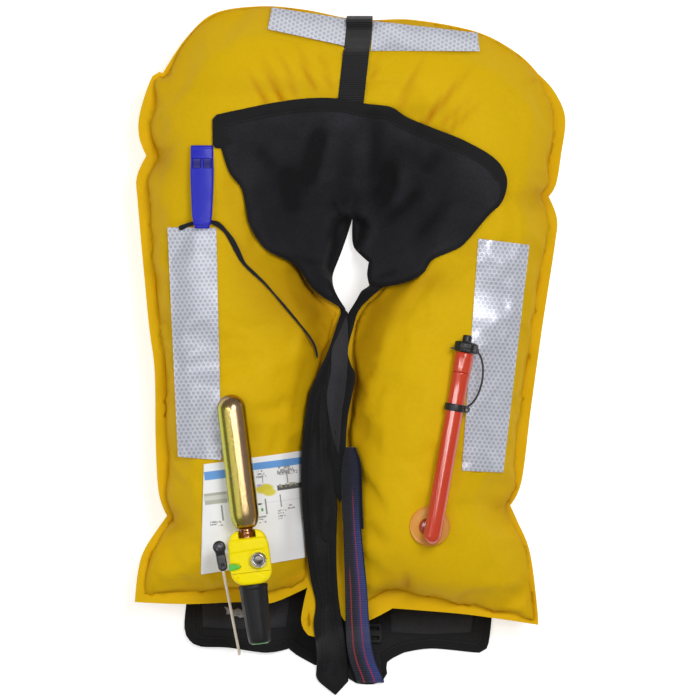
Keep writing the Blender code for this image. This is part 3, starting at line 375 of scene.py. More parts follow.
def make_webbing_look(name, colour, lines=False, fade=False):
    """Woven strap: ribs across it and lines along it. u is across in 0..1 and v along in metres.
    With fade, its start is painted darker as shade up to about 185 mm along, and the red lines start later.
    """
    look = Look(name, colour, 0.72, specular=0.25, sheen=0.08)
    uv = look.split(look.coords("UV"))
    u, v = uv[0], uv[1]
    rib = look.math("SINE", look.times(v, 2 * math.pi / RIB_PITCH))
    rib = look.math("MULTIPLY_ADD", rib, 0.5, 0.5)
    fine = look.noise(500, 3, 0.6)
    if lines:
        look.paint(look.span(u, 0.38, 0.78), (0.040, 0.052, 0.190))
        # Painted shade over the folded top of the belt's loose end, fading out by about 185 mm along.
        if fade:
            look.paint(look.span(v, 0.105, 0.185, 0.85, 0.0), (0.014, 0.015, 0.024))
        look.paint(look.span(look.away_from(u, 0.5), 0.455, 0.475), (0.010, 0.012, 0.022))
    look.shade(rib, 0.30).shade(fine, 0.12)
    if lines:
        for place in (0.27, 0.66):
            line = look.span(look.away_from(u, place), 0.018, 0.030, 1.0, 0.0)
            thread = look.times(line, look.span(rib, 0.1, 0.5, 0.45, 1.0))
            if fade:
                start = 0.122 if place > 0.5 else 0.198
                thread = look.times(thread, look.span(v, start - 0.008, start + 0.012))
            look.paint(thread, (0.42, 0.035, 0.055))
    look.raise_by(rib, 0.00035).raise_by(fine, 0.0002)
    return look.done()


def make_tape_look():
    """Silver film with a honeycomb of small prisms. uv is in metres across and along."""
    look = Look("reflective_tape", (0.67, 0.69, 0.77), 0.40, metallic=0.2, coat=0.5, coat_rough=0.16)
    pitch = 0.0044
    uv = look.split(look.coords("UV"))
    closest = None
    for shift in (0.0, 0.5):
        x = look.math("DIVIDE", uv[0], pitch)
        y = look.math("DIVIDE", uv[1], pitch * math.sqrt(3))
        x = look.math("SUBTRACT", look.math("FRACT", look.math("ADD", x, shift + 64.0)), 0.5)
        y = look.math("SUBTRACT", look.math("FRACT", look.math("ADD", y, shift + 64.0)), 0.5)
        y = look.times(y, math.sqrt(3))
        far = look.hypot(x, y)
        closest = far if closest is None else look.math("MINIMUM", closest, far)
    dot = look.span(closest, 0.29, 0.41, 1.0, 0.0)
    look.paint(look.times(dot, 0.6), (0.31, 0.32, 0.39))
    look.shade(look.noise(18, 3), 0.07)
    look.raise_by(dot, -0.00025).raise_by(look.noise(60, 3), 0.0005)
    return look.done()


LOOK_BLADDER = make_bladder_look()
COLLAR_SEAM, STRIP_SEAM, BACK_SEAM = 11.2, 7.5, 8.6
LOOK_COVER = make_fabric_look("cover_fabric", (0.0165, 0.0165, 0.0205), seam=COLLAR_SEAM,
                              border_colour=(0.0085, 0.0085, 0.0095))
LOOK_PLAIN = make_fabric_look("cover_plain", (0.0125, 0.0125, 0.0145), border=9.0, seam=STRIP_SEAM,
                              border_colour=(0.0075, 0.0075, 0.0085))
LOOK_LINING = make_fabric_look("lining_fabric", (0.019, 0.019, 0.024), gloss=0.62, specular=0.3,
                               folds=0.3)
LOOK_BLACK_WEB = make_webbing_look("black_webbing", (0.0125, 0.0125, 0.0140))
LOOK_BELT = make_webbing_look("belt_webbing", (0.020, 0.021, 0.031), lines=True)
# The folded belt end has painted shade at its top.
LOOK_BELT_TAIL = make_webbing_look("belt_webbing_folded", (0.019, 0.020, 0.029), lines=True, fade=True)
LOOK_TAPE = make_tape_look()


def plastic(name, colour, rough=0.35, coat=0.0, grain=0.00008, specular=0.5, subsurface=0.0,
            mottle=0.05):
    """Moulded plastic or rubber, with this depth of grain in metres and this share of mottling."""
    look = Look(name, colour, rough, specular=specular, coat=coat, subsurface=subsurface)
    fine = look.noise(350, 3, 0.6)
    look.shade(look.noise(40, 3), mottle)
    look.raise_by(fine, grain).rough(look.noise(90, 3), rough * 0.8, rough * 1.2)
    return look.done()


LOOK_YELLOW = plastic("inflator_yellow", (0.98, 0.80, 0.001), 0.36, coat=0.05, specular=0.12,
                      mottle=0.03)
LOOK_RED = plastic("oral_red", (0.62, 0.048, 0.014), 0.13, coat=0.6, grain=0.00002, subsurface=0.06)
LOOK_DARK_RED = plastic("oral_elbow", (0.36, 0.020, 0.012), 0.20, coat=0.5, grain=0.00003)
LOOK_DISC = plastic("base_disc", (0.68, 0.27, 0.003), 0.42, coat=0.05, grain=0.00004,
                    subsurface=0.1)
LOOK_BLUE = plastic("whistle_blue", (0.015, 0.018, 0.48), 0.38, coat=0.05, specular=0.2,
                    grain=0.00005, mottle=0.04)
# Painted shade: the darker blue inside the whistle's windows.
LOOK_WINDOW_SHADE = plastic("whistle_window_shade", (0.016, 0.014, 0.20), 0.4)
LOOK_BLACK_PLASTIC = plastic("lever_plastic", (0.011, 0.011, 0.012), 0.28, coat=0.3, grain=0.00006)
LOOK_CARTRIDGE = plastic("cartridge_plastic", (0.0085, 0.0085, 0.0100), 0.46, specular=0.3,
                         grain=0.00018, mottle=0.12)
LOOK_RUBBER = plastic("cap_rubber", (0.010, 0.010, 0.010), 0.42, grain=0.0002, mottle=0.1)
LOOK_GREEN = plastic("indicator_green", (0.09, 0.56, 0.045), 0.30, coat=0.3)
LOOK_DARK_GREEN = plastic("cartridge_green", (0.05, 0.34, 0.03), 0.34, coat=0.2)
LOOK_BUCKLE = plastic("buckle_plastic", (0.009, 0.009, 0.010), 0.52, grain=0.0002, specular=0.25)
LOOK_MANIFOLD = plastic("manifold_plastic", (0.60, 0.36, 0.012), 0.4)
LOOK_WHITE_PLASTIC = plastic("plunger_plastic", (0.62, 0.62, 0.62), 0.4)
LOOK_BOBBIN = plastic("soluble_bobbin", (0.68, 0.64, 0.52), 0.9, grain=0.0003, mottle=0.15)


def metal(name, colour, rough, brushed=0.0):
    """Bare metal, brushed to this depth in metres."""
    look = Look(name, colour, rough, metallic=1.0)
    look.shade(look.noise(50, 3), 0.08)
    if brushed:
        look.raise_by(look.noise(300, 2, 0.6, look.stretch((1, 1, 14))), brushed)
    look.rough(look.noise(120, 3), rough * 0.7, rough * 1.3)
    return look.done()


LOOK_STEEL = metal("polished_steel", (0.56, 0.56, 0.58), 0.26, 0.00003)
LOOK_BRACKET = metal("bracket_steel", (0.48, 0.48, 0.49), 0.34, 0.00005)
LOOK_BRASS = metal("stem_brass", (0.62, 0.46, 0.20), 0.3)
LOOK_PIN = metal("pin_steel", (0.09, 0.09, 0.10), 0.36, 0.00003)


def make_chrome_look():
    """Chrome plate, with a painted dark reflection on the nut's flat face."""
    look = Look("nut_chrome", (0.60, 0.58, 0.54), 0.2, metallic=1.0)
    middle = middle_mm("dome_nut") * MM
    apart = look.vector("SUBTRACT", look.coords(), (middle.x, middle.y, 0))
    away = look.vector("LENGTH", look.vector("MULTIPLY", apart, (1, 1, 0)))
    # Painted dark reflection on the nut's flat face, within about 4.2 to 5 mm of its middle.
    look.paint(look.span(away, 0.0050, 0.0042), (0.13, 0.12, 0.11))
    look.shade(look.noise(300, 3), 0.12)
    look.raise_by(look.noise(500, 3), 0.00003)
    look.rough(look.noise(150, 3), 0.14, 0.26)
    return look.done()


LOOK_CHROME = make_chrome_look()


def make_zinc_look():
    """Yellow-passivated zinc plate: gold, with pink, green and violet where the film is thicker."""
    look = Look("cylinder_zinc", (0.46, 0.38, 0.085), 0.20, metallic=1.0)
    turned = look.stretch((1, 1, 1), None, (0, 0, -INFLATOR_TURN))
    place = look.split(turned)
    cos, sin = math.cos(INFLATOR_TURN), math.sin(INFLATOR_TURN)
    axis = (INFLATOR_CENTRE[0] * cos + INFLATOR_CENTRE[1] * sin) * MM
    bottom = (INFLATOR_CENTRE[1] * cos - INFLATOR_CENTRE[0] * sin) * MM
    across, along = look.math("SUBTRACT", place[0], axis), place[1]
    streaks = look.noise(26, 4, 0.6, look.stretch((3.2, 0.32, 2.0), turned), 0.6)
    patches = look.noise(60, 4, 0.7, look.stretch((1.0, 0.6, 1.0), turned), 0.9)
    band = look.times(look.span(across, -0.007, 0.001), look.span(across, 0.0125, 0.0085))
    pink = look.math("ADD", look.times(band, 0.7), look.math("SUBTRACT", streaks, 0.5))
    look.paint(look.span(across, -0.004, -0.013), (0.40, 0.40, 0.06))
    look.paint(look.times(look.span(pink, 0.25, 0.85), 0.85), (0.62, 0.38, 0.26))
    look.paint(look.span(streaks, 0.40, 0.28), (0.38, 0.31, 0.06))
    look.paint(look.span(along, bottom + 0.031, bottom + 0.028), (0.30, 0.13, 0.06))
    far_end = look.span(along, bottom + 0.142, bottom + 0.152)
    look.paint(look.times(far_end, 0.7), (0.40, 0.24, 0.14))
    look.paint(look.times(look.span(patches, 0.58, 0.72), 0.55), (0.55, 0.30, 0.34))
    look.paint(look.times(look.span(patches, 0.36, 0.26), 0.5), (0.36, 0.40, 0.16))
    look.shade(look.noise(380, 4, 0.7), 0.16)
    look.raise_by(look.noise(260, 3, 0.6), 0.00006)
    look.rough(patches, 0.16, 0.30)
    return look.done()


LOOK_ZINC = make_zinc_look()


def make_cord_look(name, colour, dark):
    look = Look(name, colour, 0.85, specular=0.2, sheen=0.2)
    strands = look.noise(900, 2, 0.5, look.stretch((1.0, 0.45, 1.0), None, (0, 0, 0.7)))
    look.paint(look.span(strands, 0.42, 0.30), dark)
    look.shade(look.noise(60, 3), 0.1)
    look.raise_by(strands, 0.0004)
    return look.done()


LOOK_PULL = make_cord_look("pull_cord", (0.90, 0.80, 0.64), (0.60, 0.50, 0.36))
LOOK_LANYARD = make_cord_look("lanyard_cord", (0.012, 0.012, 0.012), (0.004, 0.004, 0.004))
LOOK_HOOK = make_cord_look("hook_strip", (0.33, 0.33, 0.34), (0.06, 0.06, 0.065))


# ---------------------------------------------------------------- outlines in plan, in millimetres

# A third value marks a corner; the outline is smooth at the other points.
BLADDER_OUTLINE = (
    (8, 319), (-45, 329), (-88, 332), (-131, 325), (-158, 301), (-180, 268, 1),
    (-190, 265), (-202, 230), (-203, 207), (-196, 188, 1), (-205, 168), (-204, 141),
    (-194, 31), (-188, -18), (-187, -86), (-184, -136), (-176, -158, 1), (-197, -189),
    (-204, -212), (-207, -241, 1), (-159, -243), (-106, -241), (-76, -242), (-41, -227, 1),
    (-47, -258), (-40, -273), (-31, -274, 1), (-33, -240), (-34, -120), (-30, -60),
    (-22, -20), (-14, 12), (-6.5, 35), (-8, 43, 1), (-30, 62), (-52, 110), (-57, 136), (-47, 165), (0, 186),
    (50, 165), (60, 136), (54, 110), (28, 70), (4.5, 37), (-3, 0), (-9, -60), (-13, -150),
    (-12, -235), (-6, -258), (4, -262), (20, -258), (41, -247, 1), (103, -252), (142, -257),
    (181, -263, 1), (180, -245), (173, -193), (161, -163), (154, -148, 1), (165, -125),
    (174, -55), (185, 24), (197, 102), (199, 128), (191, 149, 1), (198, 160), (203, 189),
    (207, 225), (196, 251), (181, 267, 1), (162, 286), (123, 307), (60, 319),
)
COLLAR_OUTLINE = (
    (-123.1, 194.1, 1), (-128.5, 194.6, 1), (-131.4, 197.5, 1), (-131.6, 222, 1), (-127.6, 226.6, 1),
    (-106.9, 231.1), (-69, 238.7), (-36.7, 242.5), (-8.2, 241.9), (14.5, 237.4), (39.2, 234), (54.4, 224.5),
    (79.1, 214), (105.6, 203.6), (132.2, 189.4), (145.5, 177), (150.6, 161.8), (145.5, 142.9), (132.2, 129.6),
    (109.4, 103), (96.1, 95.4), (79.1, 87.8), (69.6, 74.5), (52.5, 66), (31.6, 62.2), (18.3, 64.1, 1),
    (16.4, 74.5), (18, 85.9, 1), (6, 97.3), (2.2, 106.8), (2.2, 127.7, 1), (-2.5, 112.5), (-9.2, 93.5),
    (-15.8, 76.4), (-16.8, 68.8), (-15.5, 61.2), (-11.1, 51.7), (-3.6, 40.2, 1), (-7.8, 41.4, 1),
    (-26.6, 52.8), (-37.4, 62.2), (-49.5, 79.8), (-57.6, 86.5), (-66.1, 90.1), (-82.3, 99.2), (-95.9, 120.1),
    (-99.3, 135.3), (-104.1, 156.1), (-115.5, 171.3),
)
EDGE_LEFT_OUTLINE = (
    (-24, 57, 1), (-9.5, 41), (-12, 28), (-21, 1), (-31, -21), (-40, -45), (-45, -83),
    (-47, -120), (-44, -172), (-38, -218), (-33, -242), (-35, -263), (-32, -290), (-33, -312, 1),
    (-30, -319), (-14, -332, 1), (-1.5, -318.5, 1), (-4, -285), (-11, -236), (-13, -195),
    (-12, -152, 1), (-15, -125), (-20, -95), (-20, -50), (-17, -15), (-10, 2),
    (-1.2, 28), (-2.2, 37.6, 1), (-9, 45, 1), (-16, 57, 1),
)
EDGE_RIGHT_OUTLINE = (
    (38, 67, 1), (24, 73, 1), (18.4, 63.4), (11.1, 58.2), (5.7, 48.8), (-1.4, 37.5, 1), (-3.2, 28),
    (-13.2, 2), (-21.2, -15), (-24.2, -50), (-24.2, -95), (-18.2, -125), (-9.5, -146, 1), (-5.5, -128),
    (-4, -92), (-2, -63), (5, -25), (1, -13), (-2, 1), (3, 22), (11, 43),
)
COVER_LEFT_OUTLINE = (
    (-158, -242, 1), (-160, -267), (-155, -279), (-144, -285), (-118, -286), (-81, -291),
    (-59, -287, 1), (-52, -293), (-34, -303, 1), (-11.4, -303, 1), (-13, -150), (-14, 20),
    (-24, 45), (-27, 100), (-45, 150), (-45, 179.7, 1), (-165, 179.7, 1), (-170, 120),
    (-165, 0), (-165, -150),
)
COVER_RIGHT_OUTLINE = (
    (-10.6, -303, 1), (-4, -309, 1), (-1.5, -316), (6, -320.5), (22, -321.5), (32, -317.5),
    (36, -311), (36, -300), (52, -291, 1), (79, -287), (125, -291), (132, -287), (135, -275), (137, -256, 1),
    (146, -150), (160, 0), (165, 120), (165, 179.7, 1), (50, 179.7, 1), (50, 150), (28, 100),
    (26, 45), (-8, 20), (-11, -150),
)
COVER_NECK_OUTLINE = (
    (-165, 180, 1), (-50, 180, 1), (-30, 197), (0, 203), (30, 197), (50, 180, 1),
    (165, 180, 1), (166, 225), (140, 265), (60, 298), (-60, 304), (-140, 272), (-166, 225),
)
LABEL_OUTLINE = ((-140, -108, 1), (-143, -214, 1), (-43, -198, 1), (-44, -95, 1))
TAPES = {
    "tape_left": ((-175, 119), (-165, -101), (-123, -104), (-128, 118)),
    "tape_right": ((123, 108), (107, -114), (147, -116), (172, 102)),
    "tape_top_left": ((-75, 330.5), (-79, 309), (-5.5, 293), (-3, 319.5)),
    "tape_top_right": ((22, 317.5), (20, 288), (124.5, 288), (122.5, 306)),
}
# The flange's width outside the weld, at places round the bladder.
FLANGE = (
    (-197, 232, 13), (-198, 160, 12), (-193, 60, 11), (-188, -30, 11), (-186, -100, 12),
    (-177, -155, 7), (-200, -200, 9), (-204, -238, 9), (-160, -243, 12), (-105, -241, 14),
    (-76, -240, 12), (-45, -228, 8), (-38, -268, 6), (-34, -180, 9), (-33, -90, 9), (-22, -20, 8),
    (-17, 20, 7), (-35, 75, 9), (-57, 136, 9), (0, 186, 8), (60, 136, 9), (30, 72, 9), (4, 20, 7),
    (-6, -30, 12), (-11, -120, 13), (-12, -230, 12), (15, -259, 20), (42, -247, 19),
    (75, -250, 14), (110, -252, 10), (150, -258, 7), (180, -262, 4), (173, -195, 5),
    (156, -150, 5), (170, -90, 10), (180, -10, 10), (192, 70, 10), (198, 125, 9), (193, 150, 7),
    (202, 185, 11), (205, 225, 12), (196, 250, 9), (181, 266, 4), (150, 294, 3), (60, 318, 2.5),
    (-40, 328, 2.5), (-100, 330, 2.5), (-158, 301, 3), (-180, 268, 5),
)


# ---------------------------------------------------------------- the plan as a grid of heights

CELL = 3.0
HALF_WIDE = 225.0
HALF_LONG = 348.0
AXIS_X = np.arange(-HALF_WIDE, HALF_WIDE + CELL / 2, CELL)
AXIS_Y = np.arange(-HALF_LONG, HALF_LONG + CELL / 2, CELL)
GRID = np.stack(np.meshgrid(AXIS_X, AXIS_Y), axis=-1)
SEAM_HEIGHT = 53.0
FULLNESS = 0.80
FLANGE_THICK = 1.6
REST_Z = 4.6
COVER_TOP = 2.4
RAY_START = 0.5


def smooth_outline(points, step):
    """The outline as points about step apart, on a curve that keeps the marked corners."""
    place = [np.array(p[:2], float) for p in points]
    corner = [len(p) > 2 for p in points]
    count = len(place)
    tangent = [(place[(i + 1) % count] - place[i - 1]) * (0.0 if corner[i] else 0.5) for i in range(count)]
    out = []
    for i in range(count):
        a, b = place[i], place[(i + 1) % count]
        steps = max(1, round(float(np.linalg.norm(b - a)) / step))
        for t in np.arange(steps) / steps:
            out.append(a * (2 * t**3 - 3 * t**2 + 1) + tangent[i] * (t**3 - 2 * t**2 + t)
                       + b * (3 * t**2 - 2 * t**3) + tangent[(i + 1) % count] * (t**3 - t**2))
    return np.array(out)


def nearest_edge(points, outline):
    """How far each point is inside the closed outline, negative outside, and how far along it."""
    flat = np.asarray(points, float).reshape(-1, 2)
    best = np.full(len(flat), np.inf)
    along = np.zeros(len(flat))
    inside = np.zeros(len(flat), bool)
    start = 0.0
    for a, b in zip(outline, np.roll(outline, -1, axis=0)):
        way = b - a
        length = max(float(np.linalg.norm(way)), 1e-9)
        share = np.clip((flat - a) @ way / length**2, 0, 1)
        away = np.linalg.norm(flat - a - share[:, None] * way, axis=1)
        nearer = away < best
        best = np.where(nearer, away, best)
        along = np.where(nearer, start + share * length, along)
        start += length
        rises = (a[1] > flat[:, 1]) != (b[1] > flat[:, 1])
        with np.errstate(divide="ignore", invalid="ignore"):
            cross = (b[0] - a[0]) * (flat[:, 1] - a[1]) / (b[1] - a[1]) + a[0]
        inside ^= rises & (flat[:, 0] < cross)
    return np.where(inside, best, -best), along


def depth_inside(points, outline):
    return nearest_edge(points, outline)[0]


def sample(grid, points):
    """The grid's value at each point of the plan."""
    points = np.asarray(points, float).reshape(-1, 2)
    column = np.clip((points[:, 0] + HALF_WIDE) / CELL, 0, len(AXIS_X) - 1.001)
    row = np.clip((points[:, 1] + HALF_LONG) / CELL, 0, len(AXIS_Y) - 1.001)
    c, r = column.astype(int), row.astype(int)
    u, v = column - c, row - r
    low = grid[r, c] * (1 - u) + grid[r, c + 1] * u
    high = grid[r + 1, c] * (1 - u) + grid[r + 1, c + 1] * u
    return low * (1 - v) + high * v


def neighbours(grid):
    """The mean of the four cells round each inner cell."""
    return (grid[:-2, 1:-1] + grid[2:, 1:-1] + grid[1:-1, :-2] + grid[1:-1, 2:]) / 4


def relax(grid, hold, push, rounds):
    """Repeated averaging with a push per cell, where hold is False."""
    for _ in range(rounds):
        grid[1:-1, 1:-1] = np.where(hold[1:-1, 1:-1], grid[1:-1, 1:-1], neighbours(grid) + push)
    return grid


def smoothstep(value, low, high):
    t = np.clip((value - low) / (high - low), 0, 1)
    return t * t * (3 - 2 * t)


def ripple(points, pitch, seed):
    """Smooth noise over the plan, about -1 to 1, from waves in several directions."""
    axes = 7
    draw = np.random.default_rng(seed)
    points = np.asarray(points, float).reshape(-1, 2)
    total = np.zeros(len(points))
    for _ in range(axes):
        turn, phase = draw.uniform(0, 2 * math.pi, 2)
        wave = pitch * draw.uniform(0.7, 1.5)
        total += np.sin(2 * math.pi * (points @ (math.cos(turn), math.sin(turn))) / wave + phase)
    return total / math.sqrt(axes)


def flange_width(points):
    """The flange's width, weighted by how close each listed place is."""
    points = np.asarray(points, float).reshape(-1, 2)
    places = np.array(FLANGE, float)
    near = ((points[:, None, :] - places[None, :, :2]) ** 2).sum(axis=2) + 60.0
    weight = near**-2.0
    return (weight * places[:, 2]).sum(axis=1) / weight.sum(axis=1)


BLADDER_EDGE = smooth_outline(BLADDER_OUTLINE, 4.2)
GRID_FLAT = GRID.reshape(-1, 2)
INSIDE = depth_inside(GRID_FLAT, BLADDER_EDGE).reshape(GRID.shape[:2])
SEAM_DEPTH = INSIDE - flange_width(GRID_FLAT).reshape(INSIDE.shape)
GAS = SEAM_DEPTH > 0
RISE = relax(np.zeros(GAS.shape), ~GAS, CELL**2 / 4, 4200)
# Close to the weld the rise is taken as a slope times the distance, so that the weld is smooth.
STEEP = RISE / np.maximum(SEAM_DEPTH, 1.0)
SURE = SEAM_DEPTH > 2.2 * CELL
STEEP = relax(np.where(SURE, STEEP, 30.0), SURE, 0.0, 160)

# Folds in the bladder's top: start, end, half width, depth in millimetres. The fold is deepest at
# its start and fades to its end.
FOLDS = (
    (-63.8, 238.2, -90.4, 290.6, 3.4, 4.6), (-76.3, 233.8, -105.5, 275.5, 3.4, 4.0),
    (-34.9, 250.7, -57.4, 304.4, 3.2, 3.6), (-52.4, 247.0, -72.8, 298.0, 3.0, 2.8),
    (-18.7, 250.0, -33.1, 302.0, 3.0, 2.2), (48.9, 236.5, 75.6, 292.5, 3.2, 3.4),
    (69.6, 215.6, 124.5, 281.0, 3.8, 4.8), (85.5, 213.6, 128.1, 253.3, 3.4, 3.6),
    (90.3, 206.7, 134.9, 246.9, 3.0, 3.0), (21.2, 256.2, 29.6, 291.9, 3.0, 2.6),
    (-194.0, 182.0, -165.4, 198.4, 3.0, 6.0), (-192.7, 171.5, -170.0, 192.0, 2.6, 4.6),
    (192.6, 143.6, 163.7, 163.2, 3.6, 4.5), (186.3, 145.4, 147.6, 153.7, 2.6, 1.6),
    (178.0, 261.0, 160.0, 250.0, 3.4, 3.0), (-176.2, -159.3, -158.0, -171.0, 4.0, 4.0),
    (-174.4, -162.0, -170.0, -140.0, 4.5, 2.5), (151.0, -148.0, 132.0, -150.0, 4.0, 3.6),
    (153.0, -152.0, 140.0, -163.0, 3.2, 2.4), (54.9, -231.0, 53.0, -206.0, 4.0, 5.0),
    (-46.0, -219.0, -84.0, -232.0, 5.0, 6.0), (108.0, -246.0, 104.0, -226.0, 5.0, 2.6),
    (6.0, -36.0, 26.0, -14.0, 5.0, 3.5), (-24.0, 0.0, -52.0, 16.0, 6.0, 4.0),
    (-42.0, 86.0, -70.0, 66.0, 6.0, 3.0), (-190.0, 119.0, -100.0, 127.5, 2.0, 1.5),
    (-189.0, -110.0, -168.0, -112.0, 4.0, 1.6), (-186.0, -60.0, -169.0, -66.0, 4.0, 1.4),
    (-193.0, 60.0, -176.0, 52.0, 4.0, 1.5), (-190.0, 5.0, -176.0, 9.0, 4.0, 1.3),
    (175.0, -45.0, 160.0, -42.0, 4.0, 1.2), (188.0, 50.0, 174.0, 47.0, 4.0, 1.3),
    (-150.0, -240.0, -146.0, -222.0, 5.0, 1.8), (-120.0, -236.0, -122.0, -214.0, 5.0, 1.6),
    (140.0, -254.0, 134.0, -236.0, 5.0, 1.6), (80.0, -246.0, 78.0, -226.0, 4.0, 1.2),
    (198.0, 100.0, 184.0, 94.0, 4.0, 1.2), (172.0, -95.0, 154.0, -90.0, 4.5, 1.3),
    (4.4, 23.2, 15.8, -18.6, 2.6, 3.2), (6.0, -17.0, 25.0, -22.0, 2.4, 2.8),
    (11.5, -20.0, 7.1, -92.6, 1.8, 1.6), (-30.6, 51.5, -17.2, 34.0, 2.2, -1.6),
    (-24.6, 22.0, -26.5, -6.0, 2.0, 2.0), (-36.0, 62.0, -22.0, 40.0, 2.4, 1.8),
    (-206.0, -236.0, -176.0, -205.0, 9.0, -3.0), (180.0, -258.0, 150.0, -222.0, 9.0, -3.0),
)


def folds_at(points):
    """How deep the folds are at each point: a valley with a soft ridge beside it."""
    points = np.asarray(points, float).reshape(-1, 2)
    total = np.zeros(len(points))
    for x0, y0, x1, y1, half, deep in FOLDS:
        a, way = np.array((x0, y0)), np.array((x1 - x0, y1 - y0))
        length = np.linalg.norm(way)
        way = way / length
        t = (points - a) @ way / length
        side = (points - a) @ np.array((-way[1], way[0]))
        fade = np.where(t < 0, smoothstep(t, -0.25, 0.0), 1 - smoothstep(t, 0.1, 1.0))
        valley = np.exp(-((side / half) ** 2))
        ridge = np.exp(-(((side - 2.1 * half) / (1.5 * half)) ** 2))
        total += deep * fade * (valley - 0.5 * ridge)
    return total


def half_thick(points):
    """Half the bladder's thickness, and how far inside the weld each point is."""
    seam = depth_inside(points, BLADDER_EDGE) - flange_width(points)
    rise = sample(STEEP, points) * np.maximum(seam, 0)
    return FULLNESS * np.sqrt(2 * rise), seam


def seam_lift(points):
    """The weld isn't level: it waves a little, more where the edge is free."""
    return 1.8 * ripple(points, 120.0, 11) + 0.9 * ripple(points, 46.0, 12)


def bladder_heights(points):
    """The skin's top and bottom, with how far inside the weld and how deep in a fold each point is."""
    half, seam = half_thick(points)
    settle = smoothstep(seam, 0, 40)
    pucker = ripple(points, 27.0, 5) * smoothstep(seam, 0, 5) * (1 - smoothstep(seam, 12, 46))
    swell = 0.8 * ripple(points, 90.0, 6) * settle
    fold = folds_at(points) * smoothstep(seam, -1, 8)
    shift = seam_lift(points) * (1 - settle)
    curl = 1.2 * ripple(points, 34.0, 21) * (seam < 0) * np.clip(-seam / 10, 0, 1)
    top = SEAM_HEIGHT + FLANGE_THICK / 2 + half + shift + 0.75 * pucker + swell - fold + curl
    low = SEAM_HEIGHT - FLANGE_THICK / 2 - half + shift + 0.75 * pucker * (seam > 0) + curl
    weld = np.exp(-((seam / 0.9) ** 2))
    top -= 0.5 * weld
    return np.minimum(top, cad_top(points) + 3.0), np.maximum(REST_Z, low), seam, fold


def dropped(tree, x, y):
    """The height at which a line straight down first meets the tree, or None."""
    hit = tree.ray_cast(Vector((x * MM, y * MM, RAY_START)), Vector((0, 0, -1)))[0]
    return hit.z / MM if hit else None


def cad_top(points):
    """The CAD bladder's height, which the pieces on it rest on."""
    found = [dropped(CAD_BLADDER, x, y) for x, y in np.asarray(points, float).reshape(-1, 2)]
    return np.array([SEAM_HEIGHT if height is None else height for height in found])


CAD_BLADDER = BVHTree.FromObject(frame["nodes"]["bladder"], bpy.context.evaluated_depsgraph_get())


# ---------------------------------------------------------------- making meshes


def new_object(name, mesh, look, smooth=40):
    """An object of this mesh, shaded smooth where its faces meet at less than smooth degrees."""
    mesh.validate()
    if smooth is not None:
        mesh.shade_smooth()
        if smooth < 180:
            mesh.set_sharp_from_angle(angle=math.radians(smooth))
    made = bpy.data.objects.new(name, mesh)
    scene.collection.objects.link(made)
    mesh.materials.append(look)
    return made


def mesh_of(name, points, faces, look, smooth=40, uv=None, **values):
    """An object from points in millimetres. uv is one pair per point, and each value an attribute."""
    mesh = bpy.data.meshes.new(name)
    places = (np.asarray(points, float) * MM).tolist()
    mesh.from_pydata(places, [], [list(map(int, f)) for f in faces])
    for key, value in values.items():
        attribute = mesh.attributes.new(key, "FLOAT", "POINT")
        attribute.data.foreach_set("value", np.asarray(value, np.float32))
    if uv is not None:
        layer = mesh.uv_layers.new(name="UVMap")
        index = np.empty(len(mesh.loops), np.int32)
        mesh.loops.foreach_get("vertex_index", index)
        layer.data.foreach_set("uv", np.asarray(uv, np.float32)[index].ravel())
    return new_object(name, mesh, look, smooth)


def staggered(outline, pitch, clear):
    """A staggered grid of points inside the outline, at least clear from it."""
    low, high = outline.min(axis=0), outline.max(axis=0)
    found = []
    for row in range(int((high[1] - low[1]) / (pitch * 0.87)) + 1):
        y = low[1] + pitch * 0.87 * (row + 0.5)
        start = low[0] + pitch * (0.25 if row % 2 else 0.75)
        found += [(x, y) for x in np.arange(start, high[0], pitch)]
    found = np.array(found).reshape(-1, 2)
    return found[depth_inside(found, outline) > clear]


def ring_inside(outline, inset):
    """The outline moved inwards, without the points that come too close to another side."""
    side = np.roll(outline, -1, axis=0) - np.roll(outline, 1, axis=0)
    normal = np.stack([-side[:, 1], side[:, 0]], axis=1)
    normal /= np.maximum(np.linalg.norm(normal, axis=1)[:, None], 1e-9)
    x, y = outline[:, 0], outline[:, 1]
    area = np.sum(x * np.roll(y, -1) - np.roll(x, -1) * y)
    inset = np.broadcast_to(np.asarray(inset, float), (len(outline),))[:, None]
    ring = outline + normal * inset * (1 if area > 0 else -1)
    return ring[depth_inside(ring, outline) > inset[:, 0] - 0.6]


def cell_of(p, gap):
    return int(p[0] // gap), int(p[1] // gap)


def is_clear(p, cells, gap):
    """True if no point sorted into the cells is closer to p than gap."""
    i, j = cell_of(p, gap)
    near = [q for di in (-1, 0, 1) for dj in (-1, 0, 1) for q in cells.get((i + di, j + dj), ())]
    return all((p[0] - q[0]) ** 2 + (p[1] - q[1]) ** 2 >= gap * gap for q in near)


def thinned(points, gap):
    """The points in order, without those closer than gap to one kept before."""
    cells, kept = {}, []
    for p in points:
        if is_clear(p, cells, gap):
            cells.setdefault(cell_of(p, gap), []).append(p)
            kept.append(p)
    return np.array(kept).reshape(-1, 2)


def far_from(points, others, gap):
    """True for each point that no other comes closer to than gap."""
    cells = {}
    for q in others:
        cells.setdefault(cell_of(q, gap), []).append(q)
    return np.array([is_clear(p, cells, gap) for p in points], bool)


def triangulated(outline, inner):
    """Points and triangles over the outline."""
    points = [Vector(p) for p in outline] + [Vector(p) for p in inner]
    rim = len(outline)
    edges = [(i, (i + 1) % rim) for i in range(rim)]
    flat, _, faces, *_ = geometry.delaunay_2d_cdt(points, edges, [], 1, 1e-5)
    return np.array([tuple(p) for p in flat]), faces


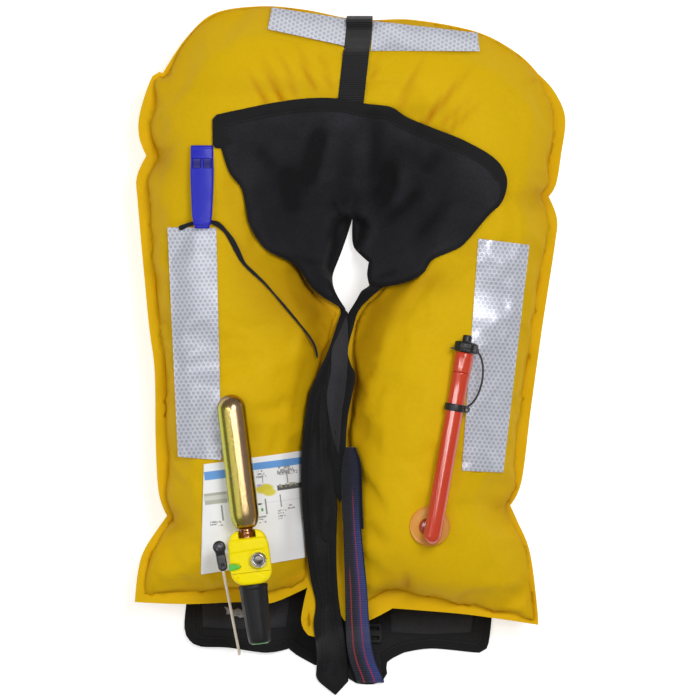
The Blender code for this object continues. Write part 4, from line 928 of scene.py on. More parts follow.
def closed_sheet(name, outline, inner, heights, look, smooth=40, uv=None, **values):
    """A closed body over the outline. heights gives (bottom, top) for an array of points."""
    flat, faces = triangulated(outline, inner)
    low, high = heights(flat)
    count = len(flat)
    points = np.vstack([np.column_stack([flat, high]), np.column_stack([flat, low])])
    solid = [tuple(f) for f in faces] + [tuple(count + i for i in reversed(f)) for f in faces]
    border = {(a, b) for f in faces for a, b in zip(f, list(f[1:]) + [f[0]])}
    for a, b in sorted(border):
        if (b, a) not in border:
            solid.append((b, a, count + a, count + b))
    used = sorted({i for f in solid for i in f})
    remap = {old: new for new, old in enumerate(used)}
    solid = [tuple(remap[i] for i in f) for f in solid]
    both = {key: np.tile(function(flat), 2)[used] for key, function in values.items()}
    pairs = None if uv is None else np.tile(uv(flat), (2, 1))[used]
    return mesh_of(name, points[used], solid, look, smooth, pairs, **both)


# ---------------------------------------------------------------- bladder


# Pools of painted shade on the bladder, near the neck, under the collar's edges and in the notches: x, y, how
# far the shade reaches across and along, and how strong it is.
SHADE_POOLS = (
    (-62, 52, 34, 34, 0.75), (-32, 40, 18, 34, 0.8), (-98, 96, 20, 34, 0.5), (-112, 150, 12, 32, 0.4),
    (34, 44, 26, 22, 0.8), (20, 8, 14, 26, 0.7), (74, 66, 26, 14, 0.6), (118, 96, 20, 14, 0.35),
    (70, 226, 26, 10, 0.35), (-30, -24, 12, 40, 0.4), (12, -60, 9, 50, 0.45), (-70, 250, 60, 9, 0.25),
    (-40, -205, 14, 26, 0.35), (48, -225, 22, 18, 0.35), (-180, 180, 18, 14, 0.4), (180, 148, 18, 12, 0.4),
    (-172, -164, 14, 12, 0.4), (150, -150, 14, 12, 0.4),
)


def amber_at(points):
    total = np.zeros(len(points))
    for x, y, across, along, strength in SHADE_POOLS:
        far = ((points[:, 0] - x) / across) ** 2 + ((points[:, 1] - y) / along) ** 2
        total += strength * np.exp(-far)
    return np.clip(total, 0, 1)


def make_bladder():
    """The two sheets of the bladder, with points closest together along their weld."""
    width = flange_width(BLADDER_EDGE)
    lines = [ring_inside(BLADDER_EDGE, np.maximum(width + inset, 0.8)) for inset in (0.0, -0.9, 0.9)]
    close = thinned(np.vstack(lines), 0.8)
    rest = [ring_inside(BLADDER_EDGE, width * 0.5)]
    rest += [ring_inside(BLADDER_EDGE, width + inset) for inset in (3.2, 6.5, 11.0, 17.0)]
    rest.append(staggered(BLADDER_EDGE, 5.4, 4.0))
    rest = thinned(np.vstack(rest), 3.2)
    inner = np.vstack([close, rest[far_from(rest, close, 2.2)]])
    memo = {}

    def heights(points):
        top, low, seam, fold = bladder_heights(points)
        memo.update(seam=seam, fold=fold)
        return low, top

    # The attributes mark the flange and the weld, and where painted shade goes: in the folds, along the sides
    # by the weld and in pools near the neck and collar.
    made = closed_sheet("bladder_skin", BLADDER_EDGE, inner, heights, LOOK_BLADDER, 60,
                        flange=lambda p: smoothstep(-memo["seam"], 0.0, 1.2),
                        fold=lambda p: np.clip(memo["fold"] / 4.5, 0, 1),
                        weld=lambda p: np.exp(-((memo["seam"] / 1.3) ** 2)), amber=amber_at,
                        side=lambda p: np.exp(-np.maximum(memo["seam"], 0) / 15) * (memo["seam"] > 0.3))
    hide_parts("bladder")
    return made


def inflate(made, most=5.0, frames=20):
    """Blows the cloth up with air, so that it wrinkles along its weld, while its rim stays put.

    No point moves by more than most millimetres, and the points beside the weld by half of that."""
    rim = made.data.attributes["flange"].data
    pins = made.vertex_groups.new(name="rim")
    for i, item in enumerate(rim):
        if item.value > 0.02:
            pins.add([i], min(1.0, item.value * 3), "REPLACE")
    cloth = made.modifiers.new("air", "CLOTH")
    settings = cloth.settings
    settings.quality = 6
    settings.mass = 0.15
    settings.tension_stiffness = settings.compression_stiffness = 20
    settings.shear_stiffness = 8
    settings.bending_stiffness = 0.05
    settings.air_damping = 2.0
    settings.use_pressure = True
    settings.uniform_pressure_force = 4.0
    settings.shrink_min = settings.shrink_max = -0.045
    settings.vertex_group_mass = "rim"
    settings.pin_stiffness = 5
    settings.effector_weights.gravity = 0
    cloth.collision_settings.use_collision = False
    for frame in range(1, frames + 1):
        scene.frame_set(frame)
    moved = made.evaluated_get(bpy.context.evaluated_depsgraph_get()).data
    count = len(made.data.vertices)
    before, after = np.empty(count * 3), np.empty(count * 3)
    made.data.vertices.foreach_get("co", before)
    moved.vertices.foreach_get("co", after)
    made.modifiers.remove(cloth)
    scene.frame_set(1)
    shift = (after - before).reshape(-1, 3)
    far = np.linalg.norm(shift, axis=1) / MM
    shift *= (most * np.tanh(far / most) / np.maximum(far, 1e-6))[:, None]
    near = np.empty(count)
    made.data.attributes["side"].data.foreach_get("value", near)
    shift *= (1 - 0.5 * near)[:, None]
    made.data.vertices.foreach_set("co", before + shift.ravel())
    made.data.update()


def seat_disc(made):
    """The cloth lies flat under the oral tube's welded base disc, and rises gently beyond it."""
    gap, reach, slope, end = 0.35, 20.6, 0.3, 60
    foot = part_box("oral_base")[0].z / MM - gap
    for vertex in made.data.vertices:
        far = math.hypot(vertex.co.x / MM - ORAL_DISC[0], vertex.co.y / MM - ORAL_DISC[1])
        if vertex.co.z / MM > foot / 2 and far < end:
            vertex.co.z = min(vertex.co.z, (foot + slope * max(far - reach, 0)) * MM)
    made.data.update()


bladder = make_bladder()
inflate(bladder)
seat_disc(bladder)
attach(bladder, "jacket")


# ---------------------------------------------------------------- what lies on the bladder


SKIN = BVHTree.FromObject(bladder, bpy.context.evaluated_depsgraph_get())


def skin_grid():
    """The bladder's height at each cell of the plan, and the cover's own height elsewhere."""
    found = [dropped(SKIN, x, y) for x, y in GRID_FLAT]
    heights = np.array([max(COVER_TOP, height or 0) for height in found])
    return heights.reshape(GRID.shape[:2])


def spread_max(heights, reach):
    """Each cell gets the highest value within reach of it."""
    span = int(reach // CELL)
    padded = np.pad(heights, span, mode="edge")
    rows, columns = heights.shape
    best = heights.copy()
    for i in range(-span, span + 1):
        for j in range(-span, span + 1):
            if math.hypot(i, j) * CELL <= reach:
                best = np.maximum(best, padded[span + i:span + i + rows, span + j:span + j + columns])
    return best


def drape(obstacle, rounds, sag):
    """A cloth over the obstacle, sagging where nothing carries it."""
    cloth = obstacle.copy()
    for _ in range(rounds):
        hanging = neighbours(cloth) - sag * CELL**2 / 4
        cloth[1:-1, 1:-1] = np.maximum(obstacle[1:-1, 1:-1], hanging)
    return cloth


def valleys(points, lines):
    """How deep soft folds are at each point. A line is (half width, depth, its points)."""
    points = np.asarray(points, float).reshape(-1, 2)
    total = np.zeros(len(points))
    for half, deep, *places in lines:
        places = np.array(places, float)
        length = np.linalg.norm(np.diff(places, axis=0), axis=1).sum()
        best = np.full(len(points), np.inf)
        share = np.zeros(len(points))
        start = 0.0
        for a, b in zip(places, places[1:]):
            size = np.linalg.norm(b - a)
            t = np.clip((points - a) @ (b - a) / size**2, 0, 1)
            away = np.linalg.norm(points - a - t[:, None] * (b - a), axis=1)
            share = np.where(away < best, (start + t * size) / length, share)
            best = np.minimum(best, away)
            start += size
        fade = smoothstep(share, 0.0, 0.25) * (1 - smoothstep(share, 0.75, 1.0)) * 0.8 + 0.2
        total += deep * fade * np.exp(-((best / half) ** 2))
    return total


HEM_WIDTH = 13.0
SURFACE = skin_grid()
BRIDGED = drape(SURFACE, 24, 0.0)
DRAPE = drape(spread_max(SURFACE, 6.5), 2200, 0.05)


def plain_inset(inside, along):
    return inside


def soft_panel(name, outline, base, thick, look, step, pitch, crown, edge=2.2, hem=0.0, seam=0.0,
               folds=(), noise=(0.0, 60.0, 1), inset_of=plain_inset, nodes=(),
               dark=None):
    """A cloth panel lying at base(points): rounded at its edge, with a hem, a groove and folds.

    noise gives the height, pitch and seed of a ripple. inset_of says how far from the edge a point
    counts as being, and dark adds painted shade to that of the folds."""
    place = smooth_outline(outline, step)

    def heights(points):
        inside, along = nearest_edge(points, place)
        low = base(points) - valleys(points, folds) + noise[0] * ripple(points, noise[1], noise[2])
        top = low + thick + crown * (1 - np.exp(-np.maximum(inside, 0) / edge))
        top -= 0.45 * thick * (inside < 0.4)
        seen = inset_of(inside, along)
        top += hem * (1 - smoothstep(seen, HEM_WIDTH - 1.2, HEM_WIDTH + 0.8))
        if seam:
            top -= 0.3 * np.exp(-(((seen - seam) / 0.9) ** 2))
        return low, top

    inner = [ring_inside(place, inset) for inset in (1.2, 3.2, 6.2)]
    if hem:
        inner += [ring_inside(place, inset) for inset in (HEM_WIDTH - 1.6, HEM_WIDTH + 0.8)]
    inner.append(staggered(place, pitch, 6.0))
    inner = thinned(np.vstack(inner), 1.6)
    # The crease attribute carries painted shade for the folds' valleys and the dark places, and painted light
    # for their ridges.
    made = closed_sheet(name, place, inner, heights, look, 55,
                        inset=lambda p: inset_of(*nearest_edge(p, place)),
                        along=lambda p: nearest_edge(p, place)[1],
                        crease=lambda p: valleys(p, folds) / 2.5 + (dark(p) if dark else 0))
    declare(made, "jacket", nodes)


def declare(made, body, nodes):
    """Says which body a piece rides on, which CAD nodes it stands for."""
    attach(made, body)
    if nodes:
        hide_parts(*nodes)


# ---------------------------------------------------------------- tapes and label


def skin_at(points):
    """The bladder's own height at each point: the highest of what lies close round it."""
    reach = 1.4
    out = np.full(len(points), -1e9)
    for i, (x, y) in enumerate(points):
        for dx, dy in ((0, 0), (reach, 0), (-reach, 0), (0, reach), (0, -reach)):
            height = dropped(SKIN, x + dx, y + dy)
            if height is not None:
                out[i] = max(out[i], height)
    return np.where(out > 0, out, sample(BRIDGED, points))


def strip_uv(corners):
    """A map in metres, across and along the long side of four corners."""
    a, b, d = (np.array(corners[i], float) for i in (0, 1, 3))
    longest = (b - a) if np.linalg.norm(b - a) > np.linalg.norm(d - a) else (d - a)
    way = longest / np.linalg.norm(longest)
    side = np.array((way[1], -way[0]))
    return lambda points: np.column_stack([(points - a) @ side, (points - a) @ way]) * MM


def make_tape(name, corners):
    """A tape that bridges the skin's small valleys, this far above it and this far across."""
    nudge, bridge = 0.5, 11.0
    outline = smooth_outline([(*p, 1) for p in corners], 5.0)

    def heights(points):
        skin = skin_at(points)
        apart = np.linalg.norm(points[:, None, :2] - points[None, :, :2], axis=2)
        share = np.exp(-((apart / bridge) ** 2))
        bridged = np.maximum(skin, share @ skin / share.sum(axis=1))
        low = bridged + nudge + 0.12 * ripple(points, 38.0, 31)
        inside = depth_inside(points, outline)
        return low, low + 0.55 + 0.12 * smoothstep(inside, 0.3, 2.2)

    inner = thinned(np.vstack([ring_inside(outline, 0.8), ring_inside(outline, 2.4),
                               staggered(outline, 5.5, 3.0)]), 1.3)
    made = closed_sheet("silver_" + name, outline, inner, heights, LOOK_TAPE, 60,
                        uv=strip_uv(corners))
    declare(made, "jacket", (name,))


def make_label_look():
    """White film with a generic drawing: bars, a blob, leader lines and dashes, and no letters."""
    look = Look("label_film", (0.96, 0.965, 0.975), 0.42, specular=0.3, coat=0.1)
    turn = math.radians(-7)
    place = look.split(look.stretch((1000, 1000, 1000), None, (0, 0, turn)))
    x, y = place[0], place[1]
    cos, sin = math.cos(turn), math.sin(turn)

    def at(px, py):
        return px * cos - py * sin, px * sin + py * cos

    def box(low, high, soft=0.35):
        """1 inside a box of the label's own axes, given by two corners in the plan."""
        (x0, y0), (x1, y1) = at(*low), at(*high)
        wide = look.math("SUBTRACT", abs(x1 - x0) / 2, look.away_from(x, (x0 + x1) / 2))
        tall = look.math("SUBTRACT", abs(y1 - y0) / 2, look.away_from(y, (y0 + y1) / 2))
        return look.span(look.math("MINIMUM", wide, tall), -soft, soft)

    def oval(centre, wide, tall):
        cx, cy = at(*centre)
        u = look.math("DIVIDE", look.math("SUBTRACT", x, cx), wide)
        v = look.math("DIVIDE", look.math("SUBTRACT", y, cy), tall)
        return look.span(look.hypot(u, v), 0.75, 1.25, 1.0, 0.0)

    grain = look.noise(900, 2, 0.6)
    blue, ink = (0.15, 0.38, 0.80), (0.10, 0.10, 0.11)
    for low, high, colour in (((-140, -115.5), (-118, -121.0), blue),
                              ((-93, -107.0), (-43, -107.6), blue),
                              ((-140, -136.5), (-117, -144.5), (0.50, 0.50, 0.42)),
                              ((-140, -139.0), (-117, -140.5), (0.72, 0.72, 0.66))):
        look.paint(box(low, high), colour)
    for centre, wide, tall, colour in (((-82.0, -131.5), 8.6, 4.6, (0.76, 0.66, 0.05)),
                                       ((-77.0, -135.0), 6.0, 3.4, (0.80, 0.70, 0.08)),
                                       ((-87.0, -128.5), 2.6, 1.4, (0.52, 0.46, 0.66))):
        look.paint(oval(centre, wide, tall), colour)
    look.paint(box((-70, -128.5), (-46, -130.5)), (0.12, 0.12, 0.11))
    speckled = look.times(box((-68, -127.0), (-48, -128.2)), look.span(look.noise(260, 2), 0.45, 0.55))
    look.paint(speckled, (0.42, 0.42, 0.30))
    look.paint(box((-90, -146.0), (-45, -140.4), 0.2), ink)
    look.paint(oval((-86.5, -146.2), 2.2, 0.9), ink)
    look.paint(oval((-84.0, -151.5), 1.2, 1.8), (0.12, 0.48, 0.10))
    # Rows of dashes that stand for print: left end, top, right end and how many rows.
    rows = ((-126, -163.5, -121, 2), (-90, -114.5, -80, 3), (-70, -110.5, -50, 3),
            (-69, -152.0, -61, 4), (-88, -158.0, -78, 3), (-134, -163.0, -124, 2),
            (-60, -147.0, -51, 2))
    dashes = None
    for x0, y0, x1, count in rows:
        for k in range(count):
            cut = 0.62 + 0.38 * ((k * 7 + int(-x0)) % 5) / 4
            line = box((x0, y0 - 2.6 * k), (x0 + (x1 - x0) * cut, y0 - 2.6 * k - 0.55), 0.18)
            dashes = line if dashes is None else look.math("MAXIMUM", dashes, line)
    broken = look.span(look.noise(420, 1, 0.5), 0.42, 0.50)
    look.paint(look.times(look.times(dashes, broken), 0.75), (0.16, 0.16, 0.17))
    thin = box((-122.4, -147), (-122.0, -162), 0.15)
    for x0, y0, y1 in ((-60.4, -115, -126), (-66.5, -137, -149), (-84.0, -118, -126),
                       (-80.5, -141, -156)):
        thin = look.math("MAXIMUM", thin, box((x0, y0), (x0 + 0.35, y1), 0.15))
    look.paint(look.times(thin, 0.8), ink)
    look.shade(look.noise(22, 3), 0.035).shade(grain, 0.02)
    look.raise_by(look.noise(45, 3), 0.0010).raise_by(grain, 0.00003)
    return look.done()


LOOK_LABEL = make_label_look()


def make_label():
    outline = smooth_outline(LABEL_OUTLINE, 5.0)
    bends = ((3.5, 1.6, (-57, -150), (-53, -180), (-56, -198)), (3.0, 1.4, (-49, -150), (-47, -196)),
             (4.0, 1.2, (-76, -190), (-72, -202)), (3.5, 1.0, (-132, -196), (-138, -212)),
             (2.4, -0.9, (-53, -146), (-50.5, -198)))

    def heights(points):
        low = sample(BRIDGED, points) + 1.4 - valleys(points, bends) + 0.3 * ripple(points, 44.0, 33)
        return low, low + 0.45

    inner = thinned(np.vstack([ring_inside(outline, 1.4), staggered(outline, 4.5, 2.5)]), 1.3)
    made = closed_sheet("printed_label", outline, inner, heights, LOOK_LABEL, 60)
    declare(made, "jacket", ("care_label",))


for tape_name, tape_corners in TAPES.items():
    make_tape(tape_name, tape_corners)
make_label()


# ---------------------------------------------------------------- collar and the cover's closing edges

# Beside the neck gap the collar turns down into it, inside these two outlines.
WALLS = (
    ((1.2, 131.5), (-10.2, 131.5), (-17.8, 122), (-21.5, 103), (-26.3, 87.8), (-25.3, 76.4), (-17.7, 63.1),
     (-12, 60), (-8, 76), (-2, 93), (2.2, 112)),
    ((1.2, 132.4), (12.6, 129.6), (17.4, 122), (15.5, 110.6), (11.5, 100), (5, 90), (-1, 107)),
)
COLLAR_FOLDS = (
    (8.0, 6.5, (-27, 217), (-33, 190), (-44, 156)), (8.0, 6.5, (39, 185), (37, 160), (26, 137)),
    (6.0, 2.5, (24, 226), (25, 198), (18, 156)), (10.0, 3.5, (-58, 183), (-60, 160), (-52, 128)),
    (3.2, 2.6, (-18, 145), (-8, 131)), (3.2, 2.2, (6, 146), (2, 129)), (3.0, 1.8, (-6, 150), (-4, 134)),
    (6.0, 3.5, (72, 158), (32, 122)), (6.0, 2.5, (100, 150), (60, 104)), (3.0, 1.8, (-58, 92), (-29, 84)),
    (3.0, 2.0, (22, 70), (48, 77)), (7.0, 2.5, (-90, 196), (-70, 172)), (7.0, 2.5, (88, 192), (70, 170)),
    (9.0, -3.5, (-12, 212), (-20, 178), (-26, 158)), (9.0, -3.5, (8, 205), (12, 172), (10, 150)),
    (7.0, -2.5, (52, 182), (50, 158), (42, 136)),
)


def in_wall(points):
    """How far each point is inside the two walls of the neck gap; less than zero outside them."""
    return np.maximum(*(depth_inside(points, smooth_outline(wall, 2.0)) for wall in WALLS))


def collar_base(points):
    points = np.asarray(points, float).reshape(-1, 2)
    drop = 17.0 * smoothstep(in_wall(points), 0.0, 6.5) ** 0.7 * smoothstep(points[:, 1], 58, 74)
    rim = 1.5 * np.exp(-(((in_wall(points) + 2.5) / 3.0) ** 2))
    return sample(DRAPE, points) + 1.3 + rim - drop


def collar_inset(inside, along):
    """The hem is 13 mm wide along the collar's upper edge, and about a third of that elsewhere."""
    return inside * (1.0 + 2.2 * smoothstep(along, 335.0, 375.0))


# Where the collar turns down into the neck gap, dark paints its cloth darker: painted shade.
soft_panel("collar_panel", COLLAR_OUTLINE, collar_base, 1.2, LOOK_COVER, 3.0, 5.0, 0.5,
           hem=0.7, seam=COLLAR_SEAM, folds=COLLAR_FOLDS, noise=(0.8, 42.0, 41),
           inset_of=collar_inset, nodes=("collar",),
           dark=lambda p: 1.3 * smoothstep(in_wall(p), 0.0, 2.5))

LEFT_FOLDS = (
    (1.8, 2.2, (-34, -60), (-38, -96), (-36, -128)), (1.6, 1.8, (-31, -30), (-36, -52)),
    (1.8, -1.4, (-21, -62), (-24, -110)), (1.6, 1.8, (-20, -186), (-16, -214), (-15, -236)),
    (1.8, 2.0, (-30, -200), (-27, -232), (-26, -262)), (2.0, 1.6, (-22, -296), (-26, -312)),
    (1.5, 1.5, (-40, -118), (-34, -124)), (1.5, 1.4, (-38, -170), (-31, -178)),
    (2.6, 2.6, (-15, 12), (-24, -30), (-30, -67), (-27, -114)),
    (2.6, 2.4, (-25, -118), (-28, -150), (-27, -181)),
    (2.2, 2.0, (-16, -150), (-17, -182)), (3.0, 2.2, (-24, -190), (-20, -238), (-14, -280)),
    (3.0, 1.6, (-36, -130), (-37, -180), (-31, -225)), (2.6, 1.6, (-28, -262), (-22, -300)),
    (4.0, -1.2, (-35, -80), (-38, -140), (-33, -200)), (2.4, 1.4, (-12, -300), (-16, -322)),
)
RIGHT_FOLDS = (
    (1.6, 1.6, (8, 50), (0, 30)), (1.5, 1.4, (-5, 12), (-7, -12)),
    (2.2, 1.6, (-2, 30), (-6, 6), (-6, -40)), (2.4, 1.8, (-22, -60), (-21, -100), (-16, -126)),
)


def over_drape(lift, tuck=500, deeper=500):
    """A height over the draped cover. Above the two levels the piece is tucked under the collar."""
    return lambda points: (sample(DRAPE, points) + lift - 4.5 * smoothstep(points[:, 1], tuck, tuck + 6)
                           - 13.0 * smoothstep(points[:, 1], deeper, deeper + 11))


soft_panel("edge_strip_left", EDGE_LEFT_OUTLINE, over_drape(1.3, 36, 50), 0.9, LOOK_PLAIN,
           3.0, 3.6, 1.7, edge=2.4, seam=STRIP_SEAM, folds=LEFT_FOLDS,
           noise=(0.35, 30.0, 43), nodes=("cover_edge_left",))
soft_panel("edge_strip_right", EDGE_RIGHT_OUTLINE, over_drape(1.3, 57, 62), 0.9, LOOK_PLAIN,
           3.0, 3.6, 1.5, seam=STRIP_SEAM, folds=RIGHT_FOLDS,
           noise=(0.3, 30.0, 44), nodes=("cover_edge_right",))
LINING_PANEL = (
    (-3.7, 34, 1), (-10.5, 18), (-17.2, 1.6), (-18.5, -20), (-22.3, -41.5), (-20.5, -63), (-16.5, -82),
    (-11.8, -99.4, 1), (-10.4, -98, 1), (-7.8, -60), (-4.5, -38), (-2.4, -14.5), (-1.7, 15), (-2.4, 28),
)
soft_panel("edge_lining_panel", LINING_PANEL, over_drape(4.4), 0.45, LOOK_LINING,
           3.0, 3.6, 0.3, folds=((2.0, 0.7, (-12, -10), (-15, -60), (-14, -100)),),
           noise=(0.2, 24.0, 45), nodes=("edge_lining",))
TURNED_HEM = (
    (-18, -128), (-24, -137), (-27, -152), (-27.2, -180, 1), (-22, -185), (-15.5, -182, 1),
    (-13.5, -165), (-14, -146),
)
soft_panel("edge_turned_hem", TURNED_HEM, over_drape(3.2), 0.5, LOOK_COVER,
           3.0, 3.6, 0.6, folds=((2.2, 1.0, (-21, -134), (-23, -160), (-22, -180)),),
           noise=(0.25, 20.0, 46))


# ---------------------------------------------------------------- the cover's back and its bottom flaps

FLAP_FOLD_Y, FLAP_RAMP, PULL_LIFT = -246.0, 16.0, 5.2


def flap_lift(points):
    """The left bottom flap rises off the surface, over the pull handle tucked under it."""
    down = smoothstep(FLAP_FOLD_Y - points[:, 1], 0, FLAP_RAMP)
    return PULL_LIFT * down * smoothstep(-58.0 - points[:, 0], 0, 22.0)


def flap_waves(points):
    """The loose cloth of the bottom flaps isn't flat; under the bladder it is."""
    free = smoothstep(-points[:, 1], 262, 280)
    return 0.55 * ripple(points, 44.0, 51) * free


def cover_panel(name, outline, node):
    """A panel of the cover's back. Only its bottom flap shows, so only that has a fine mesh."""
    place = smooth_outline(outline, 6.0)

    def heights(points):
        inside = depth_inside(points, place)
        low = flap_lift(points)
        hem = 0.7 * (1 - smoothstep(inside, 10.0, 12.0)) * smoothstep(-points[:, 1], 238, 246)
        groove = 0.25 * np.exp(-(((inside - BACK_SEAM) / 0.9) ** 2))
        waves = flap_waves(points)
        top = low + 1.7 + hem - groove + 0.55 * (1 - np.exp(-np.maximum(inside, 0) / 2)) + waves
        return low + np.maximum(waves, 0) * 0.5, top

    inner = [ring_inside(place, inset) for inset in (1.2, 3.5, 7.4, 9.8, 12.4)]
    fine = staggered(place, 6.0, 14.0)
    inner += [fine[fine[:, 1] < -236], staggered(place, 17.0, 16.0)]
    made = closed_sheet(name, place, thinned(np.vstack(inner), 2.0), heights, LOOK_COVER_BACK, 55,
                        inset=lambda p: depth_inside(p, place),
                        along=lambda p: nearest_edge(p, place)[1])
    declare(made, "jacket", (node,))


LOOK_COVER_BACK = make_fabric_look("cover_back", (0.0120, 0.0120, 0.0138), border=11.0,
                                   border_colour=(0.0080, 0.0080, 0.0092), seam=BACK_SEAM)
cover_panel("cover_panel_left", COVER_LEFT_OUTLINE, "cover_back_left")
cover_panel("cover_panel_right", COVER_RIGHT_OUTLINE, "cover_back_right")
cover_panel("cover_panel_neck", COVER_NECK_OUTLINE, "cover_back_neck")


def flap_base(lift):
    """A height this far above the bottom flaps."""
    return lambda points: flap_lift(points) + COVER_TOP + lift + flap_waves(points)


FLAP_LININGS = (
    ("left", 0.6, ((-143, -237, 1), (-142, -266, 1), (-100, -268), (-62, -266, 1), (-58, -237, 1)),
     ((3.0, 0.6, (-92, -244), (-96, -262)), (3.0, 0.5, (-126, -246), (-122, -264)))),
    ("right", 0.3, ((38, -240, 1), (40, -271, 1), (80, -273), (117, -271, 1), (121, -240, 1)),
     ((3.0, 0.5, (70, -246), (66, -268)), (3.0, 0.5, (100, -246), (102, -266)))),
)
for side, lift, outline, folds in FLAP_LININGS:
    soft_panel("lining_panel_" + side, outline, flap_base(lift), 0.45, LOOK_LINING,
               4.0, 5.0, 0.3, folds=folds, nodes=("flap_lining_" + side,))
HOOK_OUTLINE = (
    (-121.5, -246.5, 1), (-119.0, -250.5), (-119.5, -254.0, 1), (-116.0, -253.6), (-113.5, -257.0, 1),
    (-110.0, -255.2), (-106.0, -257.3, 1), (-101.0, -255.8, 1), (-99.5, -251.5), (-100.5, -248.6, 1),
    (-104.0, -249.6), (-108.5, -247.6, 1), (-112.0, -249.2), (-117.0, -247.4, 1),
)
soft_panel("hook_scrap", HOOK_OUTLINE, flap_base(1.6), 1.0, LOOK_HOOK, 2.0, 3.0, 0.4,
           noise=(0.3, 7.0, 53), nodes=("hook_and_loop_strip",))


# ---------------------------------------------------------------- webbing


WEB_THICK = 1.5


def distances(route):
    """How far along the route each of its points is."""
    return np.concatenate([[0], np.cumsum(np.linalg.norm(np.diff(route, axis=0), axis=1))])


def tube_faces(rings, sides):
    """The faces between rings of points that follow each other, and one over each end."""
    faces = []
    for start in range(0, (rings - 1) * sides, sides):
        for k in range(sides):
            j = (k + 1) % sides
            faces.append((start + k, start + j, start + sides + j, start + sides + k))
    last = (rings - 1) * sides
    return faces + [tuple(range(sides))[::-1], tuple(range(last, last + sides))]


def ribbon(name, route, across, width, look, nodes, body="jacket"):
    """A strip of webbing along its middle line, with its width lying across that line."""
    route = np.array(route, float)
    across = np.broadcast_to(np.array(across, float), route.shape)
    across = across / np.linalg.norm(across, axis=1)[:, None]
    width = np.broadcast_to(np.array(width, float), (len(route),))
    ahead = np.gradient(route, axis=0)
    up = np.cross(across, ahead)
    up = up / np.linalg.norm(up, axis=1)[:, None]
    run = distances(route)
    share = np.concatenate([[0.0, 0.03], np.linspace(0, 1, 7)[1:-1], [0.97, 1.0]])
    swell = np.where((share == 0) | (share == 1), 0.45, 1.0)
    section = [*zip(share, swell), *zip(share[::-1], -swell[::-1])]
    points, uv = [], []
    for i in range(len(route)):
        for s, w in section:
            points.append(route[i] + across[i] * (s - 0.5) * width[i] + up[i] * w * WEB_THICK / 2)
            uv.append((s, run[i] * MM))
    made = mesh_of(name, points, tube_faces(len(route), len(section)), look, 50, uv)
    declare(made, body, nodes)


def smooth_route(points, spacing):
    """Points about spacing apart on a curve through the route's own points."""
    route = np.array(points, float)
    padded = np.vstack([2 * route[0] - route[1], route, 2 * route[-1] - route[-2]])
    fine = []
    for i in range(1, len(padded) - 2):
        a, b, c, d = padded[i - 1:i + 3]
        for t in np.linspace(0, 1, 24, endpoint=False):
            fine.append(0.5 * (2 * b + (c - a) * t + (2 * a - 5 * b + 4 * c - d) * t**2
                               + (3 * b - a - 3 * c + d) * t**3))
    fine = np.array([*fine, route[-1]])
    along = distances(fine)
    count = max(2, math.ceil(along[-1] / spacing) + 1)
    at = np.linspace(0, along[-1], count)
    return np.stack([np.interp(at, along, fine[:, k]) for k in range(route.shape[1])], axis=1)


WEB_Z = 3.5
WEB_WIDE = 25.0


def make_neck_strap():
    """The strap comes out under the collar, lies over the bladder and goes round it to the back."""
    front = [(1.2 + 8.3 * (y - 243.5) / 75, y) for y in np.arange(236.0, 313.0, 5.0)]
    heights = sample(BRIDGED, front) + 2.6 - 1.8 * (np.array(front)[:, 1] < 239)
    route = [(x, y, z) for (x, y), z in zip(front, heights)]
    over = ((8.8, 317.8, 70), (9.2, 321.2, 58), (9.4, 322.2, 46), (9.4, 321.4, 30), (9.4, 319.0, 14),
            (9.4, 316.5, 6.4), (9.4, 309, WEB_Z), (9.4, 290, WEB_Z), (9.4, 262, WEB_Z))
    ribbon("neck_webbing", smooth_route([*route, *over], 3.0), (1, 0, 0), WEB_WIDE, LOOK_BLACK_WEB,
           ("neck_strap",))


def flat_webbing(name, start, end, look, node):
    way = np.array(end, float) - np.array(start, float)
    steps = max(2, int(np.linalg.norm(way) / 12) + 1)
    route = [(*(np.array(start) + way * s), WEB_Z) for s in np.linspace(0, 1, steps)]
    ribbon(name, route, (way[1], -way[0], 0), WEB_WIDE, look, (node,))


# The belt's loose end: how far down the plan, where its middle is, and how wide it looks there.
BELT_LINE = (
    (-94.5, -0.6, 8.0), (-98.0, -0.3, 11.5), (-102.0, 0.0, 14.0), (-110.4, 0.2, 16.5),
    (-126.4, 0.0, 17.8), (-148.6, 0.9, 17.0), (-164.6, 1.8, 16.6), (-180.0, 2.8, 17.4),
    (-196.4, 3.8, 18.6), (-228.2, 6.0, 21.0), (-260.1, 7.1, 22.6), (-284.0, 8.6, 24.0),
    (-299.9, 12.2, 25.0), (-314.2, 18.2, 26.2), (-318.0, 19.6, 26.2),
)


